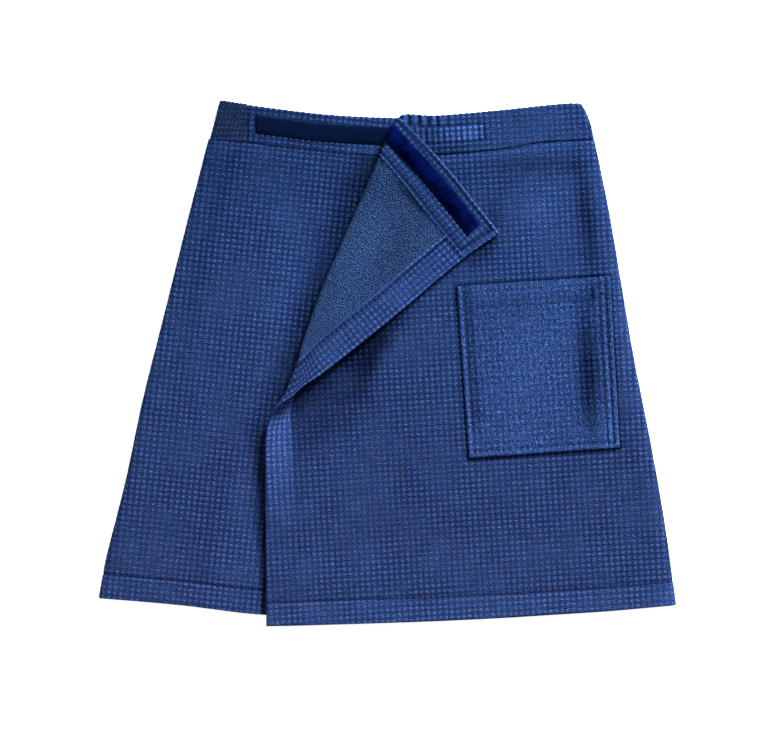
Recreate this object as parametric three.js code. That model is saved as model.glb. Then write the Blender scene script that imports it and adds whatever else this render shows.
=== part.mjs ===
// A knee-length wrap skirt of waffle velour, laid flat, with one front corner folded back.
// Millimetres, +Z up. It lies on z = 0 with its waist towards +Y and X = 0 at mid-width.
import * as THREE from 'three';

// Thickness of the cloth pieces
const clothThickness = 2.0;
const hemThickness = 3.4;
const bandThickness = 3.8;
const facingThickness = 1.6;
const tapeThickness = 1.4;

// Air between pieces: at a seam, between layers that lie on each other, and under sewn-on pieces
const seamGap = 0.3;
const layerGap = 0.6;
const sewnGap = 0.4;

// Widths of the sewn details
const hemWidth = 26;
const facingWidth = 32;
const facingInset = 1.2;
const tapeWidth = 19;
const tapeBelowTop = 10.5;

// The side folds and the diagonal crease of the turned-back corner
const sideFoldRadius = 2.9;
const sidePuffWidth = 34;
const rollRadius = 4.4;
const creaseTop = { x: 16.6, y: 267.3 };
const creaseBottom = { x: -122.5, y: -50.1 };
const flapSettleLength = 75;
const flapClearance = 3.2;
const flapTipLift = 2.5;

// How the free edge stands up below the crease
const edgeLift = { height: 6.5, width: 58, top: -40, bottom: -200 };

// The left and right outlines, from the hem up to the top of the waistband
const leftSide = smoothCurve([
  { y: -254.4, x: -313.4 },
  { y: -214.1, x: -306.0 },
  { y: -127.2, x: -284.3 },
  { y: -40.2, x: -265.8 },
  { y: 46.7, x: -244.0 },
  { y: 177.2, x: -211.4 },
  { y: 242.4, x: -193.5 },
  { y: 284.6, x: -182.8 },
], 'y', 'x');
const rightSide = smoothCurve([
  { y: -262.0, x: 313.4 },
  { y: -170.7, x: 300.6 },
  { y: -83.7, x: 285.3 },
  { y: 3.3, x: 268.0 },
  { y: 90.2, x: 252.7 },
  { y: 177.2, x: 237.5 },
  { y: 242.4, x: 222.3 },
  { y: 264.0, x: 215.8 },
  { y: 281.5, x: 207.0 },
], 'y', 'x');

// The free edges: the overlap's as it would lie unfolded, and the underlap's, which is hidden
const overlapFreeEdge = smoothCurve([
  { y: -284.4, x: -131.0 },
  { y: -83.7, x: -133.2 },
  { y: -10.0, x: -139.2 },
  { y: 104.2, x: -147.2 },
  { y: 217.0, x: -151.0 },
  { y: 264.4, x: -157.5 },
], 'y', 'x');
const underlapFreeEdge = smoothCurve([
  { y: -267.0, x: 118.0 },
  { y: 0.0, x: 130.0 },
  { y: 280.0, x: 144.0 },
], 'y', 'x');

// The hems, the top edges of the waistband and its bottom seams, from left to right
const backHem = smoothCurve([
  { x: -313.4, y: -254.4 },
  { x: 0.0, y: -266.0 },
  { x: 313.4, y: -262.0 },
], 'x', 'y');
const underlapHem = smoothCurve([
  { x: -313.4, y: -254.4 },
  { x: -225.6, y: -262.0 },
  { x: -138.6, y: -272.2 },
  { x: -30.0, y: -275.5 },
  { x: 118.0, y: -267.0 },
], 'x', 'y');
const overlapHem = smoothCurve([
  { x: -131.0, y: -284.4 },
  { x: -51.6, y: -282.6 },
  { x: 70.1, y: -278.3 },
  { x: 226.6, y: -269.6 },
  { x: 313.4, y: -262.0 },
], 'x', 'y');
const underlapTop = smoothCurve([
  { x: -182.8, y: 284.6 },
  { x: -138.6, y: 278.3 },
  { x: -69.0, y: 269.8 },
  { x: 0.5, y: 266.0 },
  { x: 70.0, y: 265.6 },
  { x: 144.0, y: 274.0 },
], 'x', 'y');
const overlapTop = smoothCurve([
  { x: -157.5, y: 264.4 },
  { x: -80.0, y: 269.5 },
  { x: 52.7, y: 267.6 },
  { x: 122.3, y: 273.9 },
  { x: 191.9, y: 281.3 },
  { x: 207.0, y: 281.5 },
], 'x', 'y');
const backTop = smoothCurve([
  { x: -182.8, y: 284.6 },
  { x: -103.8, y: 272.6 },
  { x: 0.0, y: 264.5 },
  { x: 122.3, y: 271.0 },
  { x: 207.0, y: 281.5 },
], 'x', 'y');
const leftSeam = smoothCurve([
  { x: -193.5, y: 242.4 },
  { x: -151.6, y: 238.2 },
  { x: -97.3, y: 231.5 },
  { x: -7.1, y: 224.8 },
  { x: 144.0, y: 233.0 },
], 'x', 'y');
const rightSeam = smoothCurve([
  { x: -151.0, y: 217.0 },
  { x: -16.0, y: 224.7 },
  { x: 54.9, y: 224.5 },
  { x: 123.4, y: 231.5 },
  { x: 166.9, y: 238.5 },
  { x: 222.3, y: 242.4 },
], 'x', 'y');
const backSeam = smoothCurve([
  { x: -193.5, y: 242.4 },
  { x: 0.0, y: 223.5 },
  { x: 222.3, y: 242.4 },
], 'x', 'y');

// Where the waistband and tapes end along X
const bandJoinX = -151.6;
const hookTapeEnds = { left: -142.5, right: 85 };
const loopTapeEnds = { left: -139.4, right: 107 };

// The patch pocket's corners and its double top hem
const pocketCorners = {
  topLeft: { x: 74.8, y: 83.4 },
  topRight: { x: 241.2, y: 94.6 },
  bottomRight: { x: 251.8, y: -91.6 },
  bottomLeft: { x: 87.9, y: -102.9 },
};
const pocketHem = { width: 25, thickness: 3.0 };

// Colours
const faceBlue = '#27417f';
const bandBlue = '#233a75';
const hookNavy = '#0b1a50';
const loopNavy = '#060c4c';

// A smooth line through the rows of a table: its slope at a row comes from the rows beside it.
function smoothCurve(rows, input, output) {
  const last = rows.length - 1;
  const slope = (k) => {
    const before = rows[Math.max(k - 1, 0)];
    const after = rows[Math.min(k + 1, last)];
    return (after[output] - before[output]) / (after[input] - before[input]);
  };
  return (value) => {
    let k = 0;
    while (k < last - 1 && value > rows[k + 1][input]) {
      k += 1;
    }
    const span = rows[k + 1][input] - rows[k][input];
    const t = (value - rows[k][input]) / span;
    if (t < 0) {
      return rows[k][output] + slope(k) * t * span;
    }
    if (t > 1) {
      return rows[k + 1][output] + slope(k + 1) * (t - 1) * span;
    }
    const rise = t * t * (3 - 2 * t);
    const bend = t * (1 - t);
    return rows[k][output] * (1 - rise) + rows[k + 1][output] * rise
      + span * bend * ((1 - t) * slope(k) - t * slope(k + 1));
  };
}

function mix(from, to, share) {
  return from + (to - from) * share;
}

// 1 at the near distance or closer, falling smoothly to 0 at the far one
function fade(distance, near, far) {
  return 1 - THREE.MathUtils.smoothstep(distance, near, far);
}

function evenSteps(count, from = 0, to = 1) {
  return Array.from({ length: count + 1 }, (_, k) => mix(from, to, k / count));
}

// Levels
// Each front layer lies on what is below it. Its level is the height of the middle of one layer of
// cloth, just under its outer face. It rises gently over the waistband and the hems, and towards
// the side folds it rises to the top of the fold.
const clothHalf = clothThickness / 2;
const bandHalf = bandThickness / 2;
const hemRise = hemThickness - clothThickness;
const bandRise = 55;
const hemSpread = 50;

function nearBand(seam, x, y) {
  return fade(seam(x) - y, 2, bandRise);
}

function nearHem(hem, x, y) {
  return fade(y - hem(x), hemWidth + 4, hemWidth + hemSpread);
}

// Real thickness of a panel: one layer, and two in its turned-up hem
function panelThickness(hem, x, y) {
  return clothThickness + hemRise * fade(y - hem(x), hemWidth - 5, hemWidth + 3);
}

// Height of the middle of a side fold, where the front and back pieces meet
function sideSplit(seam, x, y) {
  return mix(clothHalf, bandHalf, nearBand(seam, x, y)) + sideFoldRadius;
}

function underlapLevel(x, y) {
  const overBack = clothThickness + layerGap + clothHalf + hemRise * (nearHem(backHem, x, y)
    + nearHem(underlapHem, x, y));
  const flat = mix(overBack, bandThickness + layerGap + bandHalf, nearBand(leftSeam, x, y));
  const atFold = sideSplit(leftSeam, x, y) + sideFoldRadius;
  return mix(flat, atFold, fade(x - leftSide(y), 6, sidePuffWidth));
}

function overlapLevel(x, y) {
  const onUnderlap = fade(x - underlapFreeEdge(y), 6, 66);
  const overBack = clothThickness + layerGap + clothHalf + hemRise * (nearHem(backHem, x, y)
    + nearHem(overlapHem, x, y));
  const underlapStep = clothThickness + layerGap + hemRise * nearHem(underlapHem, x, y);
  const facingStep = (facingThickness + sewnGap)
    * fade(x - overlapFreeEdge(y), facingWidth + 3, facingWidth + 30);
  const panel = overBack + onUnderlap * underlapStep + facingStep;
  const onHook = fade(x, hookTapeEnds.right + 1, hookTapeEnds.right + 14);
  const onLoop = fade(x, loopTapeEnds.right + 1, loopTapeEnds.right + 16);
  const tapeStep = tapeThickness + sewnGap;
  const band = bandThickness + layerGap + bandHalf
    + onUnderlap * (bandThickness + layerGap) + (onHook + onLoop) * tapeStep;
  const flat = mix(panel, band, nearBand(rightSeam, x, y));
  const atFold = sideSplit(rightSeam, x, y) + sideFoldRadius;
  const level = mix(flat, atFold, fade(rightSide(y) - x, 6, sidePuffWidth));
  const along = fade(edgeLift.top - y, 0, edgeLift.top - edgeLift.bottom);
  const across = fade(x - overlapFreeEdge(y), 0, edgeLift.width);
  return level + edgeLift.height * along * across;
}

// The crease of the turned-back corner: its direction, and the way towards the corner
const creaseLine = new THREE.Vector2(creaseBottom.x - creaseTop.x, creaseBottom.y - creaseTop.y).normalize();
const towardsCorner = new THREE.Vector2(creaseLine.y, -creaseLine.x);
const rollLength = Math.PI * rollRadius;

function distancePastCrease(x, y) {
  return (x - creaseTop.x) * towardsCorner.x + (y - creaseTop.y) * towardsCorner.y;
}

// Places a point of the unfolded overlap, raised by offset from its level. Up to the crease it lies
// flat. Past the crease it goes round a roll of half a turn, and then it lies back over the panel,
// upside down, and settles on what is below it.
function overlapPlace(x, y, offset) {
  const past = distancePastCrease(x, y);
  if (past <= 0) {
    return new THREE.Vector3(x, y, overlapLevel(x, y) + offset);
  }
  const footX = x - towardsCorner.x * past;
  const footY = y - towardsCorner.y * past;
  const footLevel = overlapLevel(footX, footY);
  if (past < rollLength) {
    const turn = past / rollRadius;
    const reach = (rollRadius - offset) * Math.sin(turn);
    return new THREE.Vector3(
      footX + towardsCorner.x * reach,
      footY + towardsCorner.y * reach,
      footLevel + rollRadius - (rollRadius - offset) * Math.cos(turn),
    );
  }
  const back = past - rollLength;
  const landX = footX - towardsCorner.x * back;
  const landY = footY - towardsCorner.y * back;
  const free = footLevel + 2 * rollRadius;
  const tipLift = flapTipLift * THREE.MathUtils.smoothstep(back, flapSettleLength, 2 * flapSettleLength);
  const landed = overlapLevel(landX, landY) + bandHalf + flapClearance + tipLift;
  const level = mix(free, landed, THREE.MathUtils.smoothstep(back, 0, flapSettleLength));
  return new THREE.Vector3(landX, landY, level - offset);
}

// A four-sided patch between curves: the point at a share u across and v down from the top
function patchPoint(patch, u, v) {
  const leftY = mix(patch.topLeftY, patch.bottomLeftY, v);
  const rightY = mix(patch.topRightY, patch.bottomRightY, v);
  const topX = mix(patch.left(patch.topLeftY), patch.right(patch.topRightY), u);
  const bottomX = mix(patch.left(patch.bottomLeftY), patch.right(patch.bottomRightY), u);
  const topBow = patch.top(topX) - mix(patch.topLeftY, patch.topRightY, u);
  const bottomBow = patch.bottom(bottomX) - mix(patch.bottomLeftY, patch.bottomRightY, u);
  return {
    x: mix(patch.left(leftY), patch.right(rightY), u),
    y: mix(leftY, rightY, u) + mix(topBow, bottomBow, v),
  };
}

// A closed cloth wall: a grid of outer points and one of inner points, joined round the border.
// place(row, column, side) gives a point, with side 1 on the outer face and -1 on the inner one.
function clothWall(name, colour, rowCount, columnCount, place) {
  const points = [];
  const triangles = [];
  const layerSize = rowCount * columnCount;
  for (const side of [1, -1]) {
    for (let row = 0; row < rowCount; row += 1) {
      for (let column = 0; column < columnCount; column += 1) {
        points.push(...place(row, column, side).toArray());
      }
    }
  }
  const quad = (a, b, c, d) => triangles.push(a, b, c, a, c, d);
  const at = (row, column) => row * columnCount + column;
  for (let row = 0; row < rowCount - 1; row += 1) {
    for (let column = 0; column < columnCount - 1; column += 1) {
      const corners = [at(row, column), at(row + 1, column), at(row + 1, column + 1), at(row, column + 1)];
      quad(...corners);
      quad(...corners.reverse().map((corner) => corner + layerSize));
    }
  }
  const border = [];
  for (let column = 0; column < columnCount - 1; column += 1) {
    border.push(at(0, column));
  }
  for (let row = 0; row < rowCount - 1; row += 1) {
    border.push(at(row, columnCount - 1));
  }
  for (let column = columnCount - 1; column > 0; column -= 1) {
    border.push(at(rowCount - 1, column));
  }
  for (let row = rowCount - 1; row > 0; row -= 1) {
    border.push(at(row, 0));
  }
  border.forEach((corner, k) => {
    const next = border[(k + 1) % border.length];
    quad(corner, next, next + layerSize, corner + layerSize);
  });
  const geometry = new THREE.BufferGeometry();
  geometry.setAttribute('position', new THREE.Float32BufferAttribute(points, 3));
  geometry.setIndex(enclosedVolume(points, triangles) > 0 ? triangles : triangles.reverse());
  geometry.computeVertexNormals();
  const material = new THREE.MeshStandardMaterial({ color: colour, roughness: 0.95, metalness: 0 });
  const mesh = new THREE.Mesh(geometry, material);
  mesh.name = name;
  return mesh;
}

// Positive when the triangles face out
function enclosedVolume(points, triangles) {
  const [a, b, c] = [new THREE.Vector3(), new THREE.Vector3(), new THREE.Vector3()];
  let volume = 0;
  for (let k = 0; k < triangles.length; k += 3) {
    a.fromArray(points, triangles[k] * 3);
    b.fromArray(points, triangles[k + 1] * 3);
    c.fromArray(points, triangles[k + 2] * 3);
    volume += a.dot(b.cross(c)) / 6;
  }
  return volume;
}

// Stations across a side fold: the turn of each, from flat (0) to the outermost point of the fold
const foldEndTurn = Math.PI / 2 - seamGap / 2 / sideFoldRadius;
const foldTurns = [0.35, 0.68, 1].map((share) => share * foldEndTurn);

// Turns a flat point at the edge of a front piece down round the side fold. sideways is -1 at
// the left side and 1 at the right, and depth is how far out of the cloth's middle the point lies.
function turnDown(x, y, level, sideways, turn, depth) {
  const reach = sideFoldRadius + depth;
  return new THREE.Vector3(
    x + sideways * reach * Math.sin(turn),
    y,
    level - sideFoldRadius + reach * Math.cos(turn),
  );
}

// Turns a flat point at the edge of a back piece up round the side fold
function turnUp(x, y, centre, radius, sideways, turn, depth) {
  const reach = radius + depth;
  return new THREE.Vector3(x + sideways * reach * Math.sin(turn), y, centre - reach * Math.cos(turn));
}

// Shares of the height of a panel, from its seam down, with close rows about the hem's step
function panelRows(height, plainCount) {
  const hemSteps = [hemWidth + 6, hemWidth + 2, hemWidth - 3, hemWidth - 9, hemWidth / 3, 0];
  const plain = evenSteps(plainCount, 0, 1 - (hemWidth + 16) / height);
  return [...plain, ...hemSteps.map((step) => 1 - step / height)];
}

const panelHeight = 500;
const foldInset = sideFoldRadius + clothHalf;
const bandFoldInset = sideFoldRadius + bandHalf;
const insetCurve = (curve, inset) => (y) => curve(y) + inset;

// Back panel: flat on the surface, its two side edges turned up into the side folds
function backPanel() {
  const patch = {
    left: insetCurve(leftSide, foldInset),
    right: insetCurve(rightSide, -foldInset),
    top: (x) => backSeam(x) - seamGap,
    bottom: backHem,
    topLeftY: 242.1,
    topRightY: 242.1,
    bottomLeftY: -254.4,
    bottomRightY: -262.0,
  };
  const rows = panelRows(panelHeight, 12);
  const flatColumns = evenSteps(12);
  const turnsUp = foldTurns.length;
  const columnCount = flatColumns.length + 2 * turnsUp;
  return clothWall('back_panel', faceBlue, rows.length, columnCount, (row, column, side) => {
    const flat = THREE.MathUtils.clamp(column - turnsUp, 0, flatColumns.length - 1);
    const { x, y } = patchPoint(patch, flatColumns[flat], rows[row]);
    const past = column - turnsUp - flat;
    const turn = past === 0 ? 0 : foldTurns[Math.abs(past) - 1];
    const seam = x < 0 ? leftSeam : rightSeam;
    const centre = sideSplit(seam, x, y);
    const inner = clothHalf - panelThickness(backHem, x, y);
    return turnUp(x, y, centre, centre - clothHalf, Math.sign(past), turn, side > 0 ? clothHalf : inner);
  });
}

// Underlap panel: the left front, from the left side fold to its hidden free edge
function underlapPanel() {
  const patch = {
    left: insetCurve(leftSide, foldInset),
    right: underlapFreeEdge,
    top: (x) => leftSeam(x) - seamGap,
    bottom: underlapHem,
    topLeftY: 242.1,
    topRightY: 232.7,
    bottomLeftY: -254.4,
    bottomRightY: -267.0,
  };
  const rows = panelRows(panelHeight, 16);
  const flatColumns = [0, 0.03, 0.06, 0.1, ...evenSteps(12, 0.16, 1)];
  const turnsDown = foldTurns.length;
  return clothWall('underlap_panel', faceBlue, rows.length, flatColumns.length + turnsDown, (row, column, side) => {
    const flat = Math.max(column - turnsDown, 0);
    const { x, y } = patchPoint(patch, flatColumns[flat], rows[row]);
    const turn = column < turnsDown ? foldTurns[turnsDown - 1 - column] : 0;
    const inner = clothHalf - panelThickness(underlapHem, x, y);
    return turnDown(x, y, underlapLevel(x, y), -1, turn, side > 0 ? clothHalf : inner);
  });
}

// Shares across one row of an overlap piece: past the crease, round the roll, and on to the right
// edge. Below the crease the same stations crowd along the free edge.
function creaseShares(left, right, counts) {
  const width = right.x - left.x;
  const leftPast = distancePastCrease(left.x, left.y);
  const perShare = leftPast - distancePastCrease(right.x, right.y);
  const rollStart = Math.max((leftPast - rollLength) / perShare, counts.minimum / width);
  const rollEnd = Math.max(leftPast / perShare, rollStart + 2 * counts.minimum / width);
  return [
    ...evenSteps(counts.flap, 0, rollStart),
    ...evenSteps(counts.roll, rollStart, rollEnd).slice(1),
    ...counts.flat.map((share) => mix(rollEnd, 1, share)),
  ];
}

// Overlap panel: the right front, from its free edge with the turned-back corner to the right side
function overlapPanel() {
  const patch = {
    left: overlapFreeEdge,
    right: insetCurve(rightSide, -foldInset),
    top: (x) => rightSeam(x) - seamGap,
    bottom: overlapHem,
    topLeftY: 216.7,
    topRightY: 242.1,
    bottomLeftY: -284.4,
    bottomRightY: -262.0,
  };
  const rows = panelRows(panelHeight, 22);
  const counts = { flap: 6, roll: 7, flat: [0.04, ...evenSteps(19, 0.09, 0.9), 0.94, 0.97, 1], minimum: 8 };
  const shares = rows.map((v) => creaseShares(patchPoint(patch, 0, v), patchPoint(patch, 1, v), counts));
  const flatCount = shares[0].length;
  return clothWall('overlap_panel', faceBlue, rows.length, flatCount + foldTurns.length, (row, column, side) => {
    const flat = Math.min(column, flatCount - 1);
    const { x, y } = patchPoint(patch, shares[row][flat], rows[row]);
    const offset = side > 0 ? clothHalf : clothHalf - panelThickness(overlapHem, x, y);
    if (column < flatCount) {
      return overlapPlace(x, y, offset);
    }
    return turnDown(x, y, overlapLevel(x, y), 1, foldTurns[column - flatCount], offset);
  });
}

// Overlap facing: the strip turned back inside along the free edge. Where it goes round the roll of
// the turned-back corner, its cross lines are sheared to run along the crease.
function overlapFacing() {
  const facingTop = 216.7;
  const facingBottom = -281.0;
  const rollMiddle = -61;
  const crossRun = facingWidth - facingInset;
  const fullShear = crossRun * creaseLine.y / creaseLine.x;
  const shearAt = (y) => fullShear * fade(Math.abs(y - rollMiddle), 32, 190);
  const edgeHeights = [
    ...evenSteps(8, facingTop, -5),
    ...evenSteps(14, -20, -88),
    ...evenSteps(7, -105, facingBottom + hemWidth + 4),
    facingBottom + hemWidth,
    facingBottom + hemWidth - 5,
    facingBottom + hemWidth - 12,
    facingBottom,
  ];
  const columns = evenSteps(3);
  const endRise = (y) => 1.8 * fade(facingTop - y, 0, 40);
  return clothWall('overlap_facing', faceBlue, edgeHeights.length, columns.length, (row, column, side) => {
    const share = columns[column];
    const edgeY = edgeHeights[row];
    const y = edgeY + share * (shearAt(edgeY) + endRise(edgeY));
    const x = overlapFreeEdge(y) + facingInset + crossRun * share;
    const top = clothHalf - panelThickness(overlapHem, x, y) - sewnGap;
    return overlapPlace(x, y, side > 0 ? top : top - facingThickness);
  });
}

// Back waistband: along the back, round the left side fold, and on to the join at the front
function bandBack() {
  const rightTurns = [...foldTurns].reverse();
  const leftTurns = evenSteps(6, 0, Math.PI).slice(1);
  const flatColumns = evenSteps(12, 1, 0);
  const frontColumns = evenSteps(4, 0, 1).slice(1);
  const columnCount = rightTurns.length + flatColumns.length + leftTurns.length + frontColumns.length;
  const rows = evenSteps(4);
  const radius = sideFoldRadius;
  const backPatch = {
    left: insetCurve(leftSide, bandFoldInset),
    right: insetCurve(rightSide, -bandFoldInset),
    top: backTop,
    bottom: backSeam,
    topLeftY: 284.6,
    topRightY: 281.5,
    bottomLeftY: 242.4,
    bottomRightY: 242.4,
  };
  const frontPatch = {
    left: backPatch.left,
    right: () => bandJoinX - seamGap / 2,
    top: underlapTop,
    bottom: leftSeam,
    topLeftY: 284.6,
    topRightY: underlapTop(bandJoinX),
    bottomLeftY: 242.4,
    bottomRightY: leftSeam(bandJoinX),
  };
  return clothWall('band_back', bandBlue, rows.length, columnCount, (row, column, side) => {
    const depth = side * bandHalf;
    const afterRight = column - rightTurns.length;
    const afterFlat = afterRight - flatColumns.length;
    const afterLeft = afterFlat - leftTurns.length;
    if (afterRight < 0) {
      const { x, y } = patchPoint(backPatch, 1, rows[row]);
      return turnUp(x, y, bandHalf + radius, radius, 1, rightTurns[column], depth);
    }
    if (afterFlat < 0) {
      const { x, y } = patchPoint(backPatch, flatColumns[afterRight], rows[row]);
      return turnUp(x, y, bandHalf + radius, radius, 0, 0, depth);
    }
    if (afterLeft < 0) {
      const { x, y } = patchPoint(backPatch, 0, rows[row]);
      return turnUp(x, y, bandHalf + radius, radius, -1, leftTurns[afterFlat], depth);
    }
    const { x, y } = patchPoint(frontPatch, frontColumns[afterLeft], rows[row]);
    return new THREE.Vector3(x, y, underlapLevel(x, y) + depth);
  });
}

// Underlap waistband: from the join to the hidden free edge
function bandUnderlap() {
  const patch = {
    left: () => bandJoinX + seamGap / 2,
    right: underlapFreeEdge,
    top: underlapTop,
    bottom: leftSeam,
    topLeftY: underlapTop(bandJoinX),
    topRightY: 274.0,
    bottomLeftY: leftSeam(bandJoinX),
    bottomRightY: 233.0,
  };
  const rows = evenSteps(4);
  const columns = evenSteps(14);
  return clothWall('band_underlap', bandBlue, rows.length, columns.length, (row, column, side) => {
    const { x, y } = patchPoint(patch, columns[column], rows[row]);
    return new THREE.Vector3(x, y, underlapLevel(x, y) + side * bandHalf);
  });
}

// Overlap waistband: it turns back with the corner at one end and round the side at the other
function bandOverlap() {
  const patch = {
    left: overlapFreeEdge,
    right: insetCurve(rightSide, -bandFoldInset),
    top: overlapTop,
    bottom: rightSeam,
    topLeftY: 264.4,
    topRightY: 281.5,
    bottomLeftY: 217.0,
    bottomRightY: 242.4,
  };
  const rows = evenSteps(5);
  const counts = { flap: 9, roll: 9, flat: [0.06, ...evenSteps(12, 0.13, 0.9), 0.95, 1], minimum: 8 };
  const shares = rows.map((v) => creaseShares(patchPoint(patch, 0, v), patchPoint(patch, 1, v), counts));
  const flatCount = shares[0].length;
  return clothWall('band_overlap', bandBlue, rows.length, flatCount + foldTurns.length, (row, column, side) => {
    const flat = Math.min(column, flatCount - 1);
    const { x, y } = patchPoint(patch, shares[row][flat], rows[row]);
    if (column < flatCount) {
      return overlapPlace(x, y, side * bandHalf);
    }
    return turnDown(x, y, overlapLevel(x, y), 1, foldTurns[column - flatCount], side * bandHalf);
  });
}

// A length of tape that follows the top edge of its waistband
function tapePatch(top, ends) {
  const upper = (x) => top(x) - tapeBelowTop;
  const lower = (x) => upper(x) - tapeWidth;
  return {
    left: () => ends.left,
    right: () => ends.right,
    top: upper,
    bottom: lower,
    topLeftY: upper(ends.left),
    topRightY: upper(ends.right),
    bottomLeftY: lower(ends.left),
    bottomRightY: lower(ends.right),
  };
}

// Hook tape: on the outside of the underlap's waistband
function hookTape() {
  const patch = tapePatch(underlapTop, hookTapeEnds);
  const rows = evenSteps(2);
  const columns = evenSteps(14);
  const under = bandHalf + sewnGap;
  return clothWall('hook_tape', hookNavy, rows.length, columns.length, (row, column, side) => {
    const { x, y } = patchPoint(patch, columns[column], rows[row]);
    return new THREE.Vector3(x, y, underlapLevel(x, y) + (side > 0 ? under + tapeThickness : under));
  });
}

// Loop tape: on the inside of the overlap's waistband, so that it turns back with the corner
function loopTape() {
  const patch = tapePatch(overlapTop, loopTapeEnds);
  const rows = evenSteps(3);
  const counts = { flap: 8, roll: 9, flat: evenSteps(8, 1 / 8, 1), minimum: 8 };
  const shares = rows.map((v) => creaseShares(patchPoint(patch, 0, v), patchPoint(patch, 1, v), counts));
  const under = -bandHalf - sewnGap;
  return clothWall('loop_tape', loopNavy, rows.length, shares[0].length, (row, column, side) => {
    const { x, y } = patchPoint(patch, shares[row][column], rows[row]);
    return overlapPlace(x, y, side > 0 ? under : under - tapeThickness);
  });
}

// Patch pocket: on the overlap, with a double hem along its open top
function patchPocket() {
  const rowCount = 15;
  const columnCount = 15;
  const height = pocketCorners.topLeft.y - pocketCorners.bottomLeft.y;
  return clothWall('patch_pocket', faceBlue, rowCount, columnCount, (row, column, side) => {
    const u = column / (columnCount - 1);
    const v = row / (rowCount - 1);
    const x = mix(mix(pocketCorners.topLeft.x, pocketCorners.topRight.x, u),
      mix(pocketCorners.bottomLeft.x, pocketCorners.bottomRight.x, u), v);
    const y = mix(mix(pocketCorners.topLeft.y, pocketCorners.topRight.y, u),
      mix(pocketCorners.bottomLeft.y, pocketCorners.bottomRight.y, u), v);
    const hem = fade(v * height, pocketHem.width - 10, pocketHem.width + 4);
    const thickness = clothThickness + (pocketHem.thickness - clothThickness) * hem;
    const under = clothHalf + sewnGap;
    return new THREE.Vector3(x, y, overlapLevel(x, y) + (side > 0 ? under + thickness : under));
  });
}

const skirt = new THREE.Group();
skirt.add(
  backPanel(),
  underlapPanel(),
  overlapPanel(),
  overlapFacing(),
  bandBack(),
  bandUnderlap(),
  bandOverlap(),
  hookTape(),
  loopTape(),
  patchPocket(),
);

export default skirt;
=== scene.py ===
import math

import bpy
import numpy as np
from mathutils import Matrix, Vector
from mathutils.geometry import delaunay_2d_cdt


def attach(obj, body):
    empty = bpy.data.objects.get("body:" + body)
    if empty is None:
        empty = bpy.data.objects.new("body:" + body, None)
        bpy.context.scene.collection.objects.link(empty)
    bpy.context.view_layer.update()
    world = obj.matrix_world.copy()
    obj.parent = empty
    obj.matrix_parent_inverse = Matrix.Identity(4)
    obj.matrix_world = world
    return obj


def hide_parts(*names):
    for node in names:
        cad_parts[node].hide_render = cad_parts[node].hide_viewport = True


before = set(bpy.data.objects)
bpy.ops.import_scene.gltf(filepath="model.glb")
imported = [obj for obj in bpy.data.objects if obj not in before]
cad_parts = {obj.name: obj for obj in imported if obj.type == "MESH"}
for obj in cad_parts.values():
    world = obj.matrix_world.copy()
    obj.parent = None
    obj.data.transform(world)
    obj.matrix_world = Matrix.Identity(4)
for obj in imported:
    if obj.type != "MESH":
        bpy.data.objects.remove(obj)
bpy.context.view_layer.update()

# The view: straight down on a pale floor, as a garment is photographed laid flat. Lengths in this
# file are millimetres, and MM turns them into metres, but lights and the floor's size are in metres.
MM = 0.001
SENSOR_WIDTH = 36.0

# The camera hangs CAMERA_HEIGHT over the plane where the picture is PICTURE_WIDTH wide
PICTURE_WIDTH = 838.6
PICTURE_PLANE = 10.0
CAMERA_HEIGHT = 3000.0
CAMERA_Y = -2.4

camera = bpy.data.objects.new("camera", bpy.data.cameras.new("camera"))
camera.data.sensor_width = SENSOR_WIDTH
camera.data.lens = SENSOR_WIDTH * CAMERA_HEIGHT / PICTURE_WIDTH
camera.location = (0, CAMERA_Y * MM, (CAMERA_HEIGHT + PICTURE_PLANE) * MM)
bpy.context.collection.objects.link(camera)
bpy.context.scene.camera = camera
bpy.context.scene.view_settings.view_transform = "Standard"


def soft_light(name, place, size, power):
    """A square soft light at a place, turned towards the middle of the floor."""
    light = bpy.data.objects.new(name, bpy.data.lights.new(name, "AREA"))
    light.data.size = size
    light.data.energy = power
    light.location = place
    light.rotation_euler = (-Vector(place)).to_track_quat("-Z", "Y").to_euler()
    bpy.context.collection.objects.link(light)


soft_light("key", place=(1.9, 3.3, 2.16), size=1.1, power=600)
soft_light("top fill", place=(-0.5, 0.3, 2.6), size=2.4, power=16)
world = bpy.data.worlds.new("studio")
world.use_nodes = True
world.node_tree.nodes["Background"].inputs["Color"].default_value = (0.92, 0.95, 1.0, 1)
world.node_tree.nodes["Background"].inputs["Strength"].default_value = 0.38
bpy.context.scene.world = world

FLOOR_SIZE = 6.0
FLOOR_DROP = 0.4
floor_mesh = bpy.data.meshes.new("floor")
floor_half = FLOOR_SIZE / 2
floor_mesh.from_pydata(
    [(side_x * floor_half, side_y * floor_half, -FLOOR_DROP * MM)
     for side_x, side_y in ((-1, -1), (1, -1), (1, 1), (-1, 1))],
    [], [(0, 1, 2, 3)])
floor = bpy.data.objects.new("floor", floor_mesh)
bpy.context.collection.objects.link(floor)
floor_paint = bpy.data.materials.new("floor paint")
floor_paint.use_nodes = True
floor_paint.node_tree.nodes["Principled BSDF"].inputs["Base Color"].default_value = (0.93, 0.93, 0.93, 1)
floor_paint.node_tree.nodes["Principled BSDF"].inputs["Roughness"].default_value = 0.9
floor_paint.node_tree.nodes["Principled BSDF"].inputs["Emission Color"].default_value = (1, 1, 1, 1)
floor_paint.node_tree.nodes["Principled BSDF"].inputs["Emission Strength"].default_value = 0.7
floor_mesh.materials.append(floor_paint)

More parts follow.
